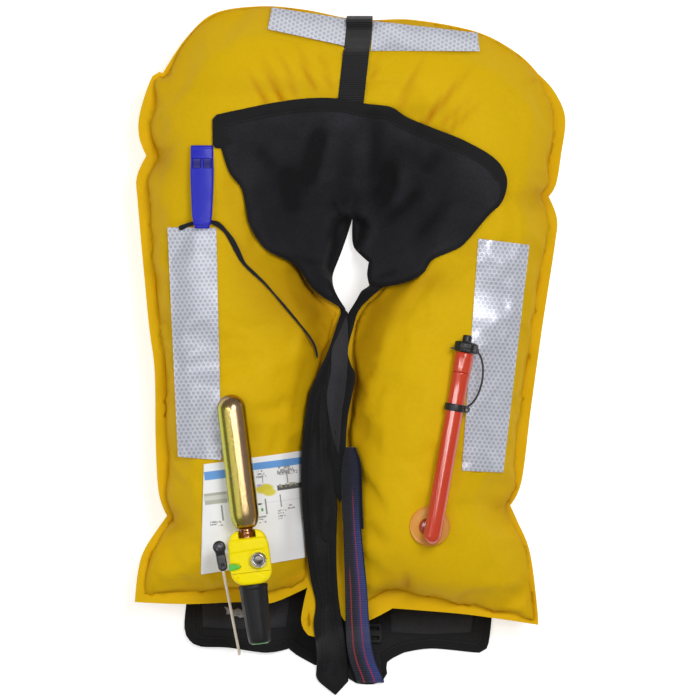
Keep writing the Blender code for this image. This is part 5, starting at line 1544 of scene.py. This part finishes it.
def make_belt():
    """The belt's loose end: up between the lobes, folded over, and down to the slider."""
    step, flap_start, flap_z, turned_rows, least_z, half_thick = 3.0, -262, 8.6, 26, 3.6, 0.8
    line = np.array(BELT_LINE)
    ys = np.arange(-95.0, -317.0, -step)
    centre = np.interp(-ys, -line[:, 0], line[:, 1])
    width = np.interp(-ys, -line[:, 0], line[:, 2])
    for _ in range(3):
        centre[1:-1] = (centre[:-2] + centre[1:-1] + centre[2:]) / 3
        width[1:-1] = (width[:-2] + width[1:-1] + width[2:]) / 3
    columns = np.array([0.0, 0.03, 0.15, 0.3, 0.5, 0.7, 0.85, 0.97, 1.0])
    over = []
    for y, c, w in zip(ys, centre, width):
        spots = np.column_stack([c + (columns - 0.5) * w, np.full(len(columns), y)])
        floor = np.where(spots[:, 1] < flap_start, flap_z, 0.0)
        z = np.maximum(sample(DRAPE, spots) + 5.6, floor)
        over.append(np.column_stack([spots, z]))
    over = np.array(over)
    for _ in range(6):
        over[1:-1, :, 2] = (over[:-2, :, 2] + over[1:-1, :, 2] + over[2:, :, 2]) / 3
    under = over[:turned_rows].copy()
    under[:, :, 0] += 2.4
    under[:, :, 2] -= 2.6
    under = under[::-1]
    fold = []
    for k in range(1, 6):
        angle = math.pi * k / 6
        fold.append(over[0] + (under[-1] - over[0]) * (1 - math.cos(angle)) / 2
                    + np.array((0, 2.6 * math.sin(angle), 0)))
    tail = [over[-1] + np.array(shift) for shift in ((1.2, -3.4, -0.8), (1.8, -5.2, -2.8),
                                                     (1.8, -4.6, -4.6), (1.0, -1.0, -5.3))]
    for part in tail:
        part[:, 2] = np.maximum(part[:, 2], least_z)
    grid = np.array([*under, *fold[::-1], *over, *tail])
    run = distances(np.array([part.mean(axis=0) for part in grid]))
    ahead = np.gradient(grid, axis=0)
    side = np.gradient(grid, axis=1)
    up = np.cross(side, ahead)
    up /= np.linalg.norm(up, axis=2)[:, :, None]
    edge = np.where((columns == 0) | (columns == 1), 0.4, 1.0)[None, :, None]
    top, low = grid + up * edge * half_thick, grid - up * edge * half_thick
    points = np.concatenate([np.concatenate([t, b[::-1]]) for t, b in zip(top, low)])
    pairs = [(s, at * MM) for at in run for s in (*columns, *columns[::-1])]
    faces = tube_faces(len(grid), 2 * len(columns))
    made = mesh_of("waist_belt_tail", points, faces, LOOK_BELT_TAIL, 50, pairs)
    declare(made, "jacket", ("waist_belt_front",))


make_neck_strap()
make_belt()
flat_webbing("back_webbing", (10, 259), (74, -90), LOOK_BLACK_WEB, "back_strap")
flat_webbing("belt_behind", (-118, -105), (118, -105), LOOK_BELT, "waist_belt_back")
flat_webbing("belt_return", (19, -316), (4, -180), LOOK_BLACK_WEB, "waist_belt_return")
flat_webbing("belt_tab", (-12, -149.6), (-12, -118), LOOK_BLACK_WEB, "waist_belt_tab")
low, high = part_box("waist_belt_rise")
ribbon("belt_rise", [(-22.5, -105, z) for z in np.linspace(low.z / MM, high.z / MM, 7)], (0, 1, 0),
       WEB_WIDE, LOOK_BELT, ("waist_belt_rise",))
low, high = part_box("belt_loop")
loop_z = (low.z + high.z) / 2 / MM
ribbon("belt_loop_webbing", [(-12, y, loop_z) for y in np.linspace(low.y / MM, high.y / MM, 8)],
       (1, 0, 0), 24.0, LOOK_BELT, ("belt_loop",), "buckle_plug")


# ---------------------------------------------------------------- tools for the hard parts


def metres(place):
    """A placing whose shift is in millimetres, with that shift in metres."""
    moved = place.copy()
    moved.translation = place.translation * MM
    return moved


def mirrored(half):
    """A closed outline from its right half."""
    return [*half, *[(-x, y) for x, y in reversed(half)]]


def carved(name, outline, heights, look, place, pitch=1.0, rings=(0.3, 0.8, 1.5, 2.4), smooth=35):
    """A moulded piece over an outline in its own plan, with heights(points) giving (bottom, top)."""
    outline = np.asarray(outline, float)
    inner = [ring_inside(outline, inset) for inset in rings]
    inner.append(staggered(outline, pitch, rings[-1] + pitch * 0.4))
    inner = thinned(np.vstack(inner), pitch * 0.45)
    made = closed_sheet(name, outline, inner, heights, look, smooth)
    made.data.transform(metres(place))
    return made


def rounding(inside, radius):
    """How far below its flat top a rounded edge lies, at this distance inside the outline."""
    short = np.clip(radius - inside, 0, radius)
    return radius - np.sqrt(np.maximum(radius**2 - short**2, 0))


def dense(points, step):
    """The closed outline with points about step apart."""
    points = np.asarray(points, float)
    out = []
    for a, b in zip(points, np.roll(points, -1, axis=0)):
        count = max(1, round(float(np.linalg.norm(b - a)) / step))
        out += [a + (b - a) * k / count for k in range(count)]
    return np.array(out)


def eased(profile, radius):
    """The closed profile with its corners off the axis rounded."""
    out = []
    count = len(profile)
    for i, point in enumerate(profile):
        p = Vector(point)
        before, after = Vector(profile[i - 1]), Vector(profile[(i + 1) % count])
        if p.x < 1e-6 or (before - p).length < 1e-6 or (after - p).length < 1e-6:
            out.append(tuple(p))
            continue
        back, on = (before - p).normalized(), (after - p).normalized()
        if back.dot(on) < -0.985:
            out.append(tuple(p))
            continue
        size = min(radius, (before - p).length * 0.42, (after - p).length * 0.42)
        a, b = p + back * size, p + on * size
        near_a, near_b = a * 0.28 + p * 0.5 + b * 0.22, a * 0.22 + p * 0.5 + b * 0.28
        out += [tuple(a), tuple(near_a), tuple(near_b), tuple(b)]
    return out


def turned(name, profile, look, place, body, nodes, slot, sides=56, ease=0.4, waves=None, smooth=32):
    """A piece turned about its own +Z from a closed (radius, height) profile, waved if asked."""
    profile = eased(profile, ease)
    angles = np.arange(sides) * 2 * math.pi / sides
    points, rings = [], []
    for radius, height in profile:
        if radius < 1e-6:
            rings.append([len(points)] * sides)
            points.append((0, 0, height))
            continue
        far = radius + (waves(radius, height, angles) if waves else 0 * angles)
        rings.append(list(range(len(points), len(points) + sides)))
        points += [(r * math.cos(a), r * math.sin(a), height) for r, a in zip(far, angles)]
    faces = []
    for i, ring in enumerate(rings):
        after = rings[(i + 1) % len(rings)]
        if ring[0] == ring[1] and after[0] == after[1]:
            continue
        for k in range(sides):
            j = (k + 1) % sides
            corners = [ring[k], ring[j], after[j], after[k]]
            faces.append([v for n, v in enumerate(corners) if v not in corners[:n]])
    mesh = bmesh.new()
    made_points = [mesh.verts.new(Vector(p) * MM) for p in points]
    for face in faces:
        mesh.faces.new([made_points[i] for i in face])
    bmesh.ops.recalc_face_normals(mesh, faces=mesh.faces)
    data = bpy.data.meshes.new(name)
    mesh.to_mesh(data)
    mesh.free()
    made = new_object(name, data, look, smooth)
    made.data.transform(metres(place))
    declare(made, body, nodes)


def hose(name, route, wide, thick, look, sides, strands=0, lay=6.0, flat=False):
    """A cord along a route, with these half widths across and up; strands twist once in each lay."""
    route = np.array(route, float)
    ahead = np.gradient(route, axis=0)
    ahead /= np.linalg.norm(ahead, axis=1)[:, None]
    run = distances(route)
    wide = np.broadcast_to(np.array(wide, float), (len(route),))
    thick = np.broadcast_to(np.array(thick, float), (len(route),))
    side = np.cross(ahead[0], (0, 0, 1.0))
    points = []
    for i, way in enumerate(ahead):
        side = np.cross(way, (0, 0, 1.0)) if flat else side - way * (side @ way)
        side = side / np.linalg.norm(side)
        up = np.cross(side, way)
        for k in range(sides):
            angle = 2 * math.pi * k / sides
            bulge = 1.0
            if strands:
                twist = angle - 2 * math.pi * run[i] / lay
                bulge = 0.93 + 0.09 * abs(math.cos(strands / 2 * twist))
            end = 0.72 if i in (0, len(route) - 1) else 1.0
            points.append(route[i] + end * bulge * (side * wide[i] * math.cos(angle)
                                                    + up * thick[i] * math.sin(angle)))
    made = mesh_of(name, points, tube_faces(len(route), sides), look, 180)
    mesh = bmesh.new()
    mesh.from_mesh(made.data)
    bmesh.ops.recalc_face_normals(mesh, faces=mesh.faces)
    mesh.to_mesh(made.data)
    mesh.free()
    return made, float(run[-1])


def rounded_box(width, length, radius):
    steps = 4
    out = []
    for sx, sy, start in ((1, 1, 0), (-1, 1, 90), (-1, -1, 180), (1, -1, 270)):
        for k in range(steps + 1):
            angle = math.radians(start + 90 * k / steps)
            out.append((sx * (width / 2 - radius) + radius * math.cos(angle),
                        sy * (length / 2 - radius) + radius * math.sin(angle)))
    return out


# ---------------------------------------------------------------- inflator

INFLATOR = Matrix.Translation((*INFLATOR_CENTRE, INFLATOR_Z)) @ Matrix.Rotation(INFLATOR_TURN, 4, "Z")
ALONG_U = INFLATOR @ Matrix.Rotation(-math.pi / 2, 4, "X")
BODY_TOP, BODY_LOW, NECK_R = 15.6, -14.0, 8.1
STEM = (8.1, -3.0)


# The inflator's body and its front plate in their own plan: narrow shoulders, a round lower end.
BODY_OUTLINE = smooth_outline(mirrored((
    (6.0, 26.6), (11.5, 25.6), (15.2, 23.0), (17.2, 19.6), (18.7, 15.0), (19.6, 8.0), (19.8, -4.0),
    (19.7, -13.0), (18.6, -18.0), (15.5, -22.4), (10.0, -25.4), (4.0, -26.4))), 1.0)
FRONT_OUTLINE = smooth_outline(mirrored((
    (6.0, 18.6), (15.0, 18.2), (18.6, 15.6), (19.4, 8.0), (19.6, -4.0), (19.5, -13.0), (18.4, -17.9),
    (15.3, -22.2), (9.8, -25.2), (4.0, -26.2))), 1.0)
# The status indicator's leaf, and the pocket in the front plate that it lies in.
LEAF = (
    (-20.2, -4.6), (-15.0, -4.4), (-11.6, -5.6), (-9.6, -7.6), (-11.6, -9.2), (-15.0, -10.2),
    (-20.2, -10.2),
)
POCKET = dense((
    (-21, -4.0), (-15.0, -3.6), (-11.0, -4.6), (-8.7, -7.3), (-11.0, -9.8), (-15.0, -10.9),
    (-21, -10.8)), 1.0)
POCKET_FLOOR = 12.6


def body_heights(points):
    """The inflator's bottom and top: a raised front plate with grooves, and room for what plugs in."""
    x, y = points[:, 0], points[:, 1]
    inside = depth_inside(points, BODY_OUTLINE)
    front = depth_inside(points, FRONT_OUTLINE)
    crown = BODY_TOP - 0.0022 * x**2
    top = BODY_TOP - 3.4 - rounding(inside, 3.2)
    panel = crown - rounding(np.maximum(front, 0), 2.6) - 0.05 * (26 - y) * (y < -14)
    upper = smoothstep(y - (7.0 + 0.05 * x), -0.45, 0.45)
    panel += 0.65 * upper - 0.65
    panel -= 0.35 * np.exp(-((front - 2.0) / 0.5) ** 2) * (y < 6)
    panel -= 0.5 * np.exp(-((np.hypot(x - STEM[0], y - STEM[1]) - 9.2) / 0.8) ** 2)
    fan = np.abs((x - 9.0) * 0.55 + (y + 17.0))
    panel -= 0.3 * np.exp(-(fan / 0.8) ** 2) * smoothstep(-y, 13, 17) * (x > 2)
    top = np.where(front > 0, np.maximum(panel, top), top)
    notch = (np.abs(x) < NECK_R) & (y > 19.2)
    top = np.where(notch, np.minimum(top, -np.sqrt(np.maximum(NECK_R**2 - x**2, 0))), top)
    dot = np.hypot(x + 13.4, y + 18.4)
    top = np.where(dot < 1.0, top - 2.2, top)
    pocket = depth_inside(points, POCKET)
    top = np.where(pocket > 0, np.minimum(top, POCKET_FLOOR), top)
    low = BODY_LOW + rounding(inside, 3.0)
    bore = (np.abs(x) < 9.0) & (y < -17.0)
    return low, np.maximum(top, low + 0.6 * ~bore)


def make_inflator():
    """The inflator's body with its indicator, gas cylinder, water cartridge and nut."""
    shell = carved("inflator_shell", BODY_OUTLINE, body_heights, LOOK_YELLOW, INFLATOR, 0.85,
                   (0.25, 0.6, 1.1, 1.7, 2.5, 3.4), 50)
    declare(shell, "jacket", ("inflator_body", "inflator_front_plate"))
    leaf = smooth_outline(LEAF, 0.8)

    def leaf_heights(points):
        inside = depth_inside(points, leaf)
        top = 14.6 - rounding(inside, 1.2) - 0.003 * points[:, 0] ** 2
        return np.full(len(points), 10.0), top

    green = carved("indicator_leaf", leaf, leaf_heights, LOOK_GREEN, INFLATOR, 0.8, (0.2, 0.6, 1.0))
    declare(green, "indicator", ("status_indicator",))
    neck = [(0, 15.0), (2.6, 15.0), (2.6, 12.0), (7.4, 12.0), (7.4, 20.0), (7.0, 20.4), (7.0, 21.2),
            (7.4, 21.6), (7.4, 24.8), (6.6, 25.4), (6.4, 27.0), (6.6, 28.2)]
    profile = list(neck)
    for k in range(1, 12):
        angle = math.pi / 2 * k / 12
        profile.append((7.0 + 6.9 * math.sin(angle) ** 0.85, 28.4 + 15.6 * (1 - math.cos(angle)) ** 0.95))
    profile += [(13.9, 46.0), (13.9, 60.0), (13.9, 120.0), (13.9, 141.5)]
    for k in range(1, 13):
        angle = math.pi / 2 * k / 12
        radius = 13.9 * math.cos(angle) if k < 12 else 0
        profile.append((radius, 143.2 + 13.9 * math.sin(angle) ** 1.05))
    turned("gas_cylinder", profile, LOOK_ZINC, ALONG_U, "cylinder", ("co2_cylinder",), "cylinder_zinc",
           72, 0.3, smooth=40)

    def ridges(radius, height, angles):
        if radius < 9 or height > -33 or height < -76:
            return 0 * angles
        fade = smoothstep(height, -76, -70) * (1 - smoothstep(height, -38, -33))
        return 0.16 * np.cos(angles * 20) * fade

    case = ((5.2, -14.5), (8.7, -14.5), (8.7, -25.8), (13.2, -25.8), (13.9, -26.6), (13.9, -29.6),
            (13.5, -30.4), (13.4, -34.0), (13.0, -40.0), (12.5, -50.0), (12.0, -60.0), (11.4, -70.0),
            (11.0, -78.0), (10.4, -81.0), (9.4, -82.2), (8.7, -82.2), (8.7, -76.0), (9.6, -70.0),
            (11.0, -32.0), (11.0, -29.0), (5.2, -28.5))
    turned("cartridge_shell", case, LOOK_CARTRIDGE, ALONG_U, "cartridge", ("cartridge_case",),
           "cartridge_plastic", 80, 0.5, ridges)
    cap = ((0, -76.4), (8.3, -76.4), (8.3, -81.4), (8.2, -82.7), (7.2, -83.2), (3.4, -82.9), (2.6, -83.3),
           (0, -83.4))
    turned("cartridge_green_end", cap, LOOK_DARK_GREEN, ALONG_U, "cartridge", ("cartridge_end_cap",),
           "indicator_green", 48, 0.4)

    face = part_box("dome_nut")[0].z / MM - INFLATOR_Z

    def scallops(radius, height, angles):
        return -0.55 * np.abs(np.sin(angles * 7)) ** 2 * (radius > 6.4) * (height < face + 4.2)

    nut = ((0, face + 2.6), (4.5, face + 2.6), (4.5, face), (7.4, face), (8.0, face + 0.6), (8.0, face + 1.4),
           (7.9, face + 2.6), (7.2, face + 3.7), (6.2, face + 4.6), (5.0, face + 5.2), (4.6, face + 5.0),
           (4.4, face + 4.3), (3.6, face + 4.4), (0, face + 4.5))
    turned("chrome_nut", nut, LOOK_CHROME, INFLATOR @ Matrix.Translation((*STEM, 0)), "nut",
           ("dome_nut",), "nut_chrome", 84, 0.35, scallops, 30)


def make_lever():
    """The lever in its own plan, with its hub at the origin and its end along +X."""
    hub, end = Vector(LEVER_HUB), Vector(LEVER_END)
    length = (end - hub).length
    place = (Matrix.Translation((*hub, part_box("lever")[0].z / MM))
             @ Matrix.Rotation(math.atan2((end - hub).y, (end - hub).x), 4, "Z"))
    hub_r, end_r = 6.2, 4.6
    outline = [(hub_r * math.cos(a), hub_r * math.sin(a)) for a in np.radians(np.linspace(52, 308, 22))]
    outline += [(length * 0.35, -4.55), (length * 0.7, -4.7)]
    for a in np.radians(np.linspace(-72, 72, 14)):
        outline.append((length + 1.0 + end_r * math.cos(a), end_r * math.sin(a)))
    outline += [(length * 0.7, 4.7), (length * 0.35, 4.55)]
    outline = dense(outline, 0.8)

    def heights(points):
        inside = depth_inside(points, outline)
        far = np.hypot(points[:, 0], points[:, 1])
        top = 5.0 - rounding(inside, 1.7) - 0.7 * smoothstep(points[:, 0], 3.5, 9.0)
        top += 0.5 * np.exp(-(((far - 3.6) / 0.7) ** 2))
        top -= 1.6 * (1 - smoothstep(far, 1.7, 2.2))
        top -= 1.8 * (1 - smoothstep(np.hypot(points[:, 0] - length, points[:, 1]), 1.2, 1.7))
        top -= 0.35 * np.exp(-(((points[:, 0] - 8.0) / 0.5) ** 2)) * (np.abs(points[:, 1]) < 2.4)
        return rounding(inside, 0.8), top

    made = carved("firing_lever", outline, heights, LOOK_BLACK_PLASTIC, place, 0.7,
                  (0.2, 0.6, 1.1, 1.7), 50)
    declare(made, "lever", ("lever",))


make_inflator()
make_lever()


# ---------------------------------------------------------------- oral tube


def oral_place(t=0.0):
    """A placing whose own +Z runs along the oral tube."""
    turn = Matrix.Rotation(ORAL_TURN, 4, "Z") @ Matrix.Rotation(-math.pi / 2, 4, "X")
    return Matrix.Translation((*ORAL_PIVOT, ORAL_Z)) @ turn @ Matrix.Translation((0, 0, t))


def make_oral_tube():
    """The red tube and its mouthpiece, the band and cap with the tether between them, and the foot."""
    place = oral_place()
    profile = [(0, -8.5)]
    profile += [(8.5 * math.sin(a), -8.5 * math.cos(a)) for a in np.radians(np.linspace(10, 90, 10))]
    profile += [(8.55, 20), (8.5, 60), (8.45, 100), (8.45, 119), (8.5, 128), (8.45, 140), (8.5, 147),
                (8.75, 152), (9.0, 156), (9.05, 157.2), (8.6, 157.7), (6.6, 157.7), (6.6, 166),
                (5.0, 166), (5.0, 3.0), (0, 0.5)]
    turned("red_tube", profile, LOOK_RED, place, "oral", ("oral_tube",), "oral_red", 64, 0.3)
    mouth = ((6.9, 158), (8.9, 158), (9.15, 158.6), (9.2, 164), (9.2, 172), (9.1, 176.0),
             (8.4, 177.2), (5.3, 177.2), (5.3, 166.4), (6.9, 166.4))
    turned("mouth_section", mouth, LOOK_RED, place, "oral", ("mouthpiece",), "oral_red", 64, 0.3)
    band = ((8.8, 120.6), (9.9, 120.4), (10.3, 121.2), (10.3, 126.6), (9.9, 127.4), (8.8, 127.2))
    turned("band_ring", band, LOOK_RUBBER, place, "oral", ("tether_band",), "cap_rubber", 56, 0.3)
    on_side = Matrix.Rotation(math.pi / 2, 4, "X")
    lug = oral_place(123.9) @ Matrix.Translation((11.2, -1.5, 0)) @ on_side
    lug_profile = ((1.2, -1.7), (2.9, -1.7), (3.2, -1.2), (3.2, 1.2), (2.9, 1.7), (1.2, 1.7))
    turned("band_lug", lug_profile, LOOK_RUBBER, lug, "oral", (), "cap_rubber", 32, 0.3)

    def lobes(radius, height, angles):
        if radius < 9 or not 178.6 < height < 187.5:
            return 0 * angles
        return 0.75 * np.cos(2 * angles) ** 3 - 0.35 * np.abs(np.sin(angles * 9)) ** 3

    end = 177.3
    cap = ((0, end - 4.0), (4.7, end - 4.0), (4.9, end + 0.3), (9.4, end + 0.3), (10.0, end + 0.8),
           (10.0, end + 2.6), (9.8, end + 3.2), (10.2, end + 4.0), (10.2, end + 8.4), (9.4, end + 9.6),
           (8.0, end + 10.2), (4.9, end + 10.4), (4.5, end + 11.2), (4.5, end + 15.4), (4.0, end + 16.4),
           (2.4, end + 16.9), (0, end + 17.0))
    turned("black_cap", cap, LOOK_RUBBER, place, "cap", ("oral_cap",), "cap_rubber", 72, 0.4, lobes)
    outline = dense([(-14.2, -0.5), (-9.0, -1.6), (-9.0, 1.6), (-14.2, 0.5)], 0.6)

    def tab_heights(points):
        rim = rounding(depth_inside(points, outline), 0.3)
        return rim - 0.6, 0.6 - rim

    tab = carved("cap_tab", outline, tab_heights, LOOK_RUBBER, oral_place(end + 2.2) @ on_side, 0.5,
                 (0.15, 0.4))
    declare(tab, "cap", ())
    wing_outline = dense(rounded_box(5.4, 8.6, 1.6), 0.8)

    def wing_heights(points):
        return np.full(len(points), -2.6), 3.4 - rounding(depth_inside(points, wing_outline), 1.2)

    wing_turn = Matrix.Rotation(-math.pi / 2, 4, "X") @ Matrix.Rotation(math.pi, 4, "Y")
    wing_place = oral_place(end + 4.6) @ Matrix.Translation((9.2, -3.4, 0)) @ wing_turn
    wing = carved("cap_wing", wing_outline, wing_heights, LOOK_RUBBER, wing_place, 0.7, (0.2, 0.6, 1.1))
    declare(wing, "cap", ())

    arc = []
    for k in range(13):
        angle = math.radians(-84 + 168 * k / 12)
        arc.append(place @ Vector((7.5 + 13.5 * math.cos(angle), -1.5, 153.6 + 28.0 * math.sin(angle))))
    arc[0], arc[-1] = place @ Vector((11.9, -1.5, 124.5)), place @ Vector((12.1, -1.5, 183.0))
    route = smooth_route(arc, 1.6)
    tether, length = hose("tether_cord", route, 1.0, 1.0, LOOK_RUBBER, 12)
    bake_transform(tether)
    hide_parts("cap_tether")

    low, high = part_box("oral_base")
    foot, top = low.z / MM, high.z / MM
    base = ((0, foot), (18.6, foot), (19.5, foot + 0.3), (19.6, foot + 1.0), (18.9, foot + 1.5),
            (17.6, foot + 1.2), (12.0, foot + 1.4), (9.6, foot + 2.1), (0, foot + 2.4))
    turned("disc", base, LOOK_DISC, Matrix.Translation((*ORAL_DISC, 0)), "jacket", ("oral_base",),
           "base_disc", 72)
    boss = ((0, foot + 1.4), (9.0, foot + 1.4), (8.2, foot + 2.6), (8.0, top - 3.0), (7.4, top - 0.6),
            (6.0, top + 0.2), (0, top + 0.4))
    boss_place = Matrix.Translation((ORAL_DISC[0] - 1.9, ORAL_DISC[1] - 0.6, 0))
    turned("foot_boss", boss, LOOK_DARK_RED, boss_place, "jacket", (), "oral_red", 48, 0.8)


make_oral_tube()


# ---------------------------------------------------------------- whistle, lanyard and pull cord


# The whistle's two windows lie between these distances from its cord end.
WINDOW_LOW, WINDOW_HIGH = 53.4, 62.6


def window_floor(points):
    """The floor of the windows slopes up towards the cord end."""
    return 4.2 - 2.2 - 1.6 * smoothstep(WINDOW_HIGH - points[:, 1], 0, 9.2)


def make_whistle():
    """The whistle in its own plan, with its eyelet near the origin and its mouth along +Y."""
    outline = dense(mirrored((
        (7.0, -4.2), (7.2, -1.4), (8.2, -0.6), (8.6, 3.0), (9.6, 8.0), (10.3, 22.0), (11.0, 40.0),
        (11.2, 52.0), (11.0, 58.0), (10.8, 66.0), (10.9, 74.2), (10.3, 75.4))), 1.0)

    def heights(points):
        x, y = points[:, 0], points[:, 1]
        inside = depth_inside(points, outline)
        bulge = 4.5 - 0.011 * x**2
        body = smoothstep(y, -0.9, -0.3)
        top = np.where(body > 0.5, bulge, 2.4)
        top -= rounding(inside, 1.5)
        mouth = smoothstep(y, WINDOW_HIGH, WINDOW_HIGH + 0.6)
        top -= 0.9 * mouth + 0.5 * smoothstep(y, 64.5, 75)
        top += 0.35 * np.exp(-(((y - 73.6) / 1.0) ** 2))
        window = (y > WINDOW_LOW) & (y < WINDOW_HIGH) & (np.abs(x) > 1.1) & (np.abs(x) < 8.8)
        top = np.where(window, np.minimum(top, window_floor(points)), top)
        top -= 0.3 * np.exp(-((y / 0.5) ** 2)) * (np.abs(x) < 8)
        top -= 0.25 * np.exp(-(((y - 4.0) / 0.4) ** 2)) * (np.abs(x) < 7.5)
        top += 0.35 * np.exp(-((np.hypot(x + 7.0, y - 25.0) / 0.7) ** 2))
        low = -4.5 + rounding(inside, 1.5)
        return low, np.maximum(top, low + 1.0)

    place = Matrix.Translation((*WHISTLE_EYELET, WHISTLE_Z))
    made = carved("blue_whistle", outline, heights, LOOK_BLUE, place, 0.95, (0.25, 0.6, 1.0, 1.6), 45)
    declare(made, "whistle", ("whistle",))

    def floor(points):
        depth = window_floor(points) + 0.12
        return depth - 0.5, depth

    # The windows' floors are covered in darker blue: painted shade inside the whistle's openings.
    left = dense(((-8.5, 53.7), (-1.4, 53.7), (-1.4, 62.3), (-8.5, 62.3)), 1.4)
    right = (left * (-1, 1))[::-1]
    for name, side in (("whistle_window_left", left), ("whistle_window_right", right)):
        inset = carved(name, side, floor, LOOK_WINDOW_SHADE, place, 1.6, (0.5,))
        declare(inset, "whistle", ())


LANYARD_ROUTE = (
    (-131.0, 123.4), (-126.0, 121.4), (-120.0, 115.8), (-113.5, 107.0), (-108.0, 96.5),
    (-101.5, 84.5), (-91.5, 74.5), (-81.5, 65.0), (-70.0, 52.0), (-58.5, 38.5),
    (-46.0, 23.5), (-37.5, 12.0), (-33.0, 3.0), (-31.3, -6.0),
)


def make_lanyard():
    """A flat twisted cord over the jacket, and the short knotted end that lies under the whistle."""
    plan = smooth_route(LANYARD_ROUTE, 2.2)
    heights = sample(spread_max(BRIDGED, 3.2), plan) + 1.7
    heights[-4:] += np.linspace(0.2, 1.2, 4)
    for _ in range(3):
        heights[1:-1] = (heights[:-2] + heights[1:-1] + heights[2:]) / 3
    route = np.column_stack([plan, heights])
    share = np.linspace(0, 1, len(route))
    twist = np.abs(np.cos(share * math.pi * 4.3 + 0.4))
    wide = (2.75 - 1.5 * smoothstep(share, 0.18, 0.5)) * (0.72 + 0.28 * twist)
    made, length = hose("lanyard", route, wide, 0.95, LOOK_LANYARD, 14, flat=True)
    tail = smooth_route(((-163.5, 117.6), (-160.0, 119.2), (-155.0, 121.2), (-148.0, 122.9), (-141.0, 124.2),
                         (-133.0, 124.2), (-130.0, 122.8)), 1.6)
    under = np.array([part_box("whistle")[0].z / MM - 1.4])
    level = sample(spread_max(BRIDGED, 3.2), tail) + 2.6
    covered = (tail[:, 0] > -152) & (tail[:, 0] < -131)
    level = np.where(covered, np.minimum(level, under), level)
    bow = 2.35 + 0.35 * np.cos(np.linspace(0, 9, len(tail)))
    knot, _ = hose("lanyard_tail", np.column_stack([tail, level]), bow * 0.95, 1.25, LOOK_LANYARD, 14,
                   flat=True)
    declare(knot, "jacket", ("lanyard_knot",))
    declare(made, "jacket", ("whistle_lanyard",))


def make_pull_cord():
    """The cord hangs from the lever's end to the flap's edge and turns under it to the handle."""
    start = np.array([LEVER_END[0] + 0.6, LEVER_END[1] - 5.2, LEVER_Z])
    edge = np.array([-107.0, -290.6, 11.6])
    sag = 9.0
    hang = [tuple(start + share * (edge - start) + (0, 0, -sag * math.sin(math.pi * share)))
            for share in (0.0, 0.06, 0.2, 0.36, 0.52, 0.68, 0.84)]
    route = smooth_route([*hang, tuple(edge), (-107, -292.2, 7.3), (-107, -290.4, 3.6), (-107, -286.6, 2.2),
                          (-107, -283.5, 2.1)], 1.0)
    made, length = hose("pull_line", route, 1.3, 1.3, LOOK_PULL, 14, strands=3, lay=7.0)
    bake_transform(made)
    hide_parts("pull_cord")


make_whistle()
make_lanyard()
make_pull_cord()


# ---------------------------------------------------------------- the CAD's own pieces that show

KEPT = {
    LOOK_STEEL: ("piercing_pin", "pin_spring", "cartridge_spring", "valve_poppet", "valve_spring"),
    LOOK_BRACKET: ("lever_bracket",),
    LOOK_PIN: ("lever_pin",),
    LOOK_RUBBER: ("cylinder_gasket", "washer_back", "washer_front"),
    LOOK_MANIFOLD: ("inflator_manifold",),
    LOOK_BRASS: ("manifold_stem",),
    LOOK_WHITE_PLASTIC: ("cartridge_plunger",),
    LOOK_BOBBIN: ("soluble_ring",),
    LOOK_BUCKLE: ("buckle_female", "buckle_male", "belt_slider"),
    LOOK_BLACK_PLASTIC: ("pull_handle",),
}
for look, nodes in KEPT.items():
    for node in nodes:
        frame["nodes"][node].data.materials.clear()
        frame["nodes"][node].data.materials.append(look)


# ---------------------------------------------------------------- floor


def make_floor():
    """A pale floor that takes the jacket's shadow, just under the lowest piece."""
    look = Look("floor", (0.86, 0.86, 0.86), 0.75, specular=0.2)
    look.shade(look.noise(3, 3), 0.01)
    look.shader.inputs["Emission Color"].default_value = (1, 1, 1, 1)
    look.shader.inputs["Emission Strength"].default_value = 0.55
    mesh = bmesh.new()
    bmesh.ops.create_grid(mesh, x_segments=8, y_segments=8, size=3.0)
    data = bpy.data.meshes.new("floor")
    mesh.to_mesh(data)
    mesh.free()
    made = new_object("floor", data, look.done(), None)
    made.location = (0, 0, CAD_BOX[0][2] - 0.0004)


make_floor()
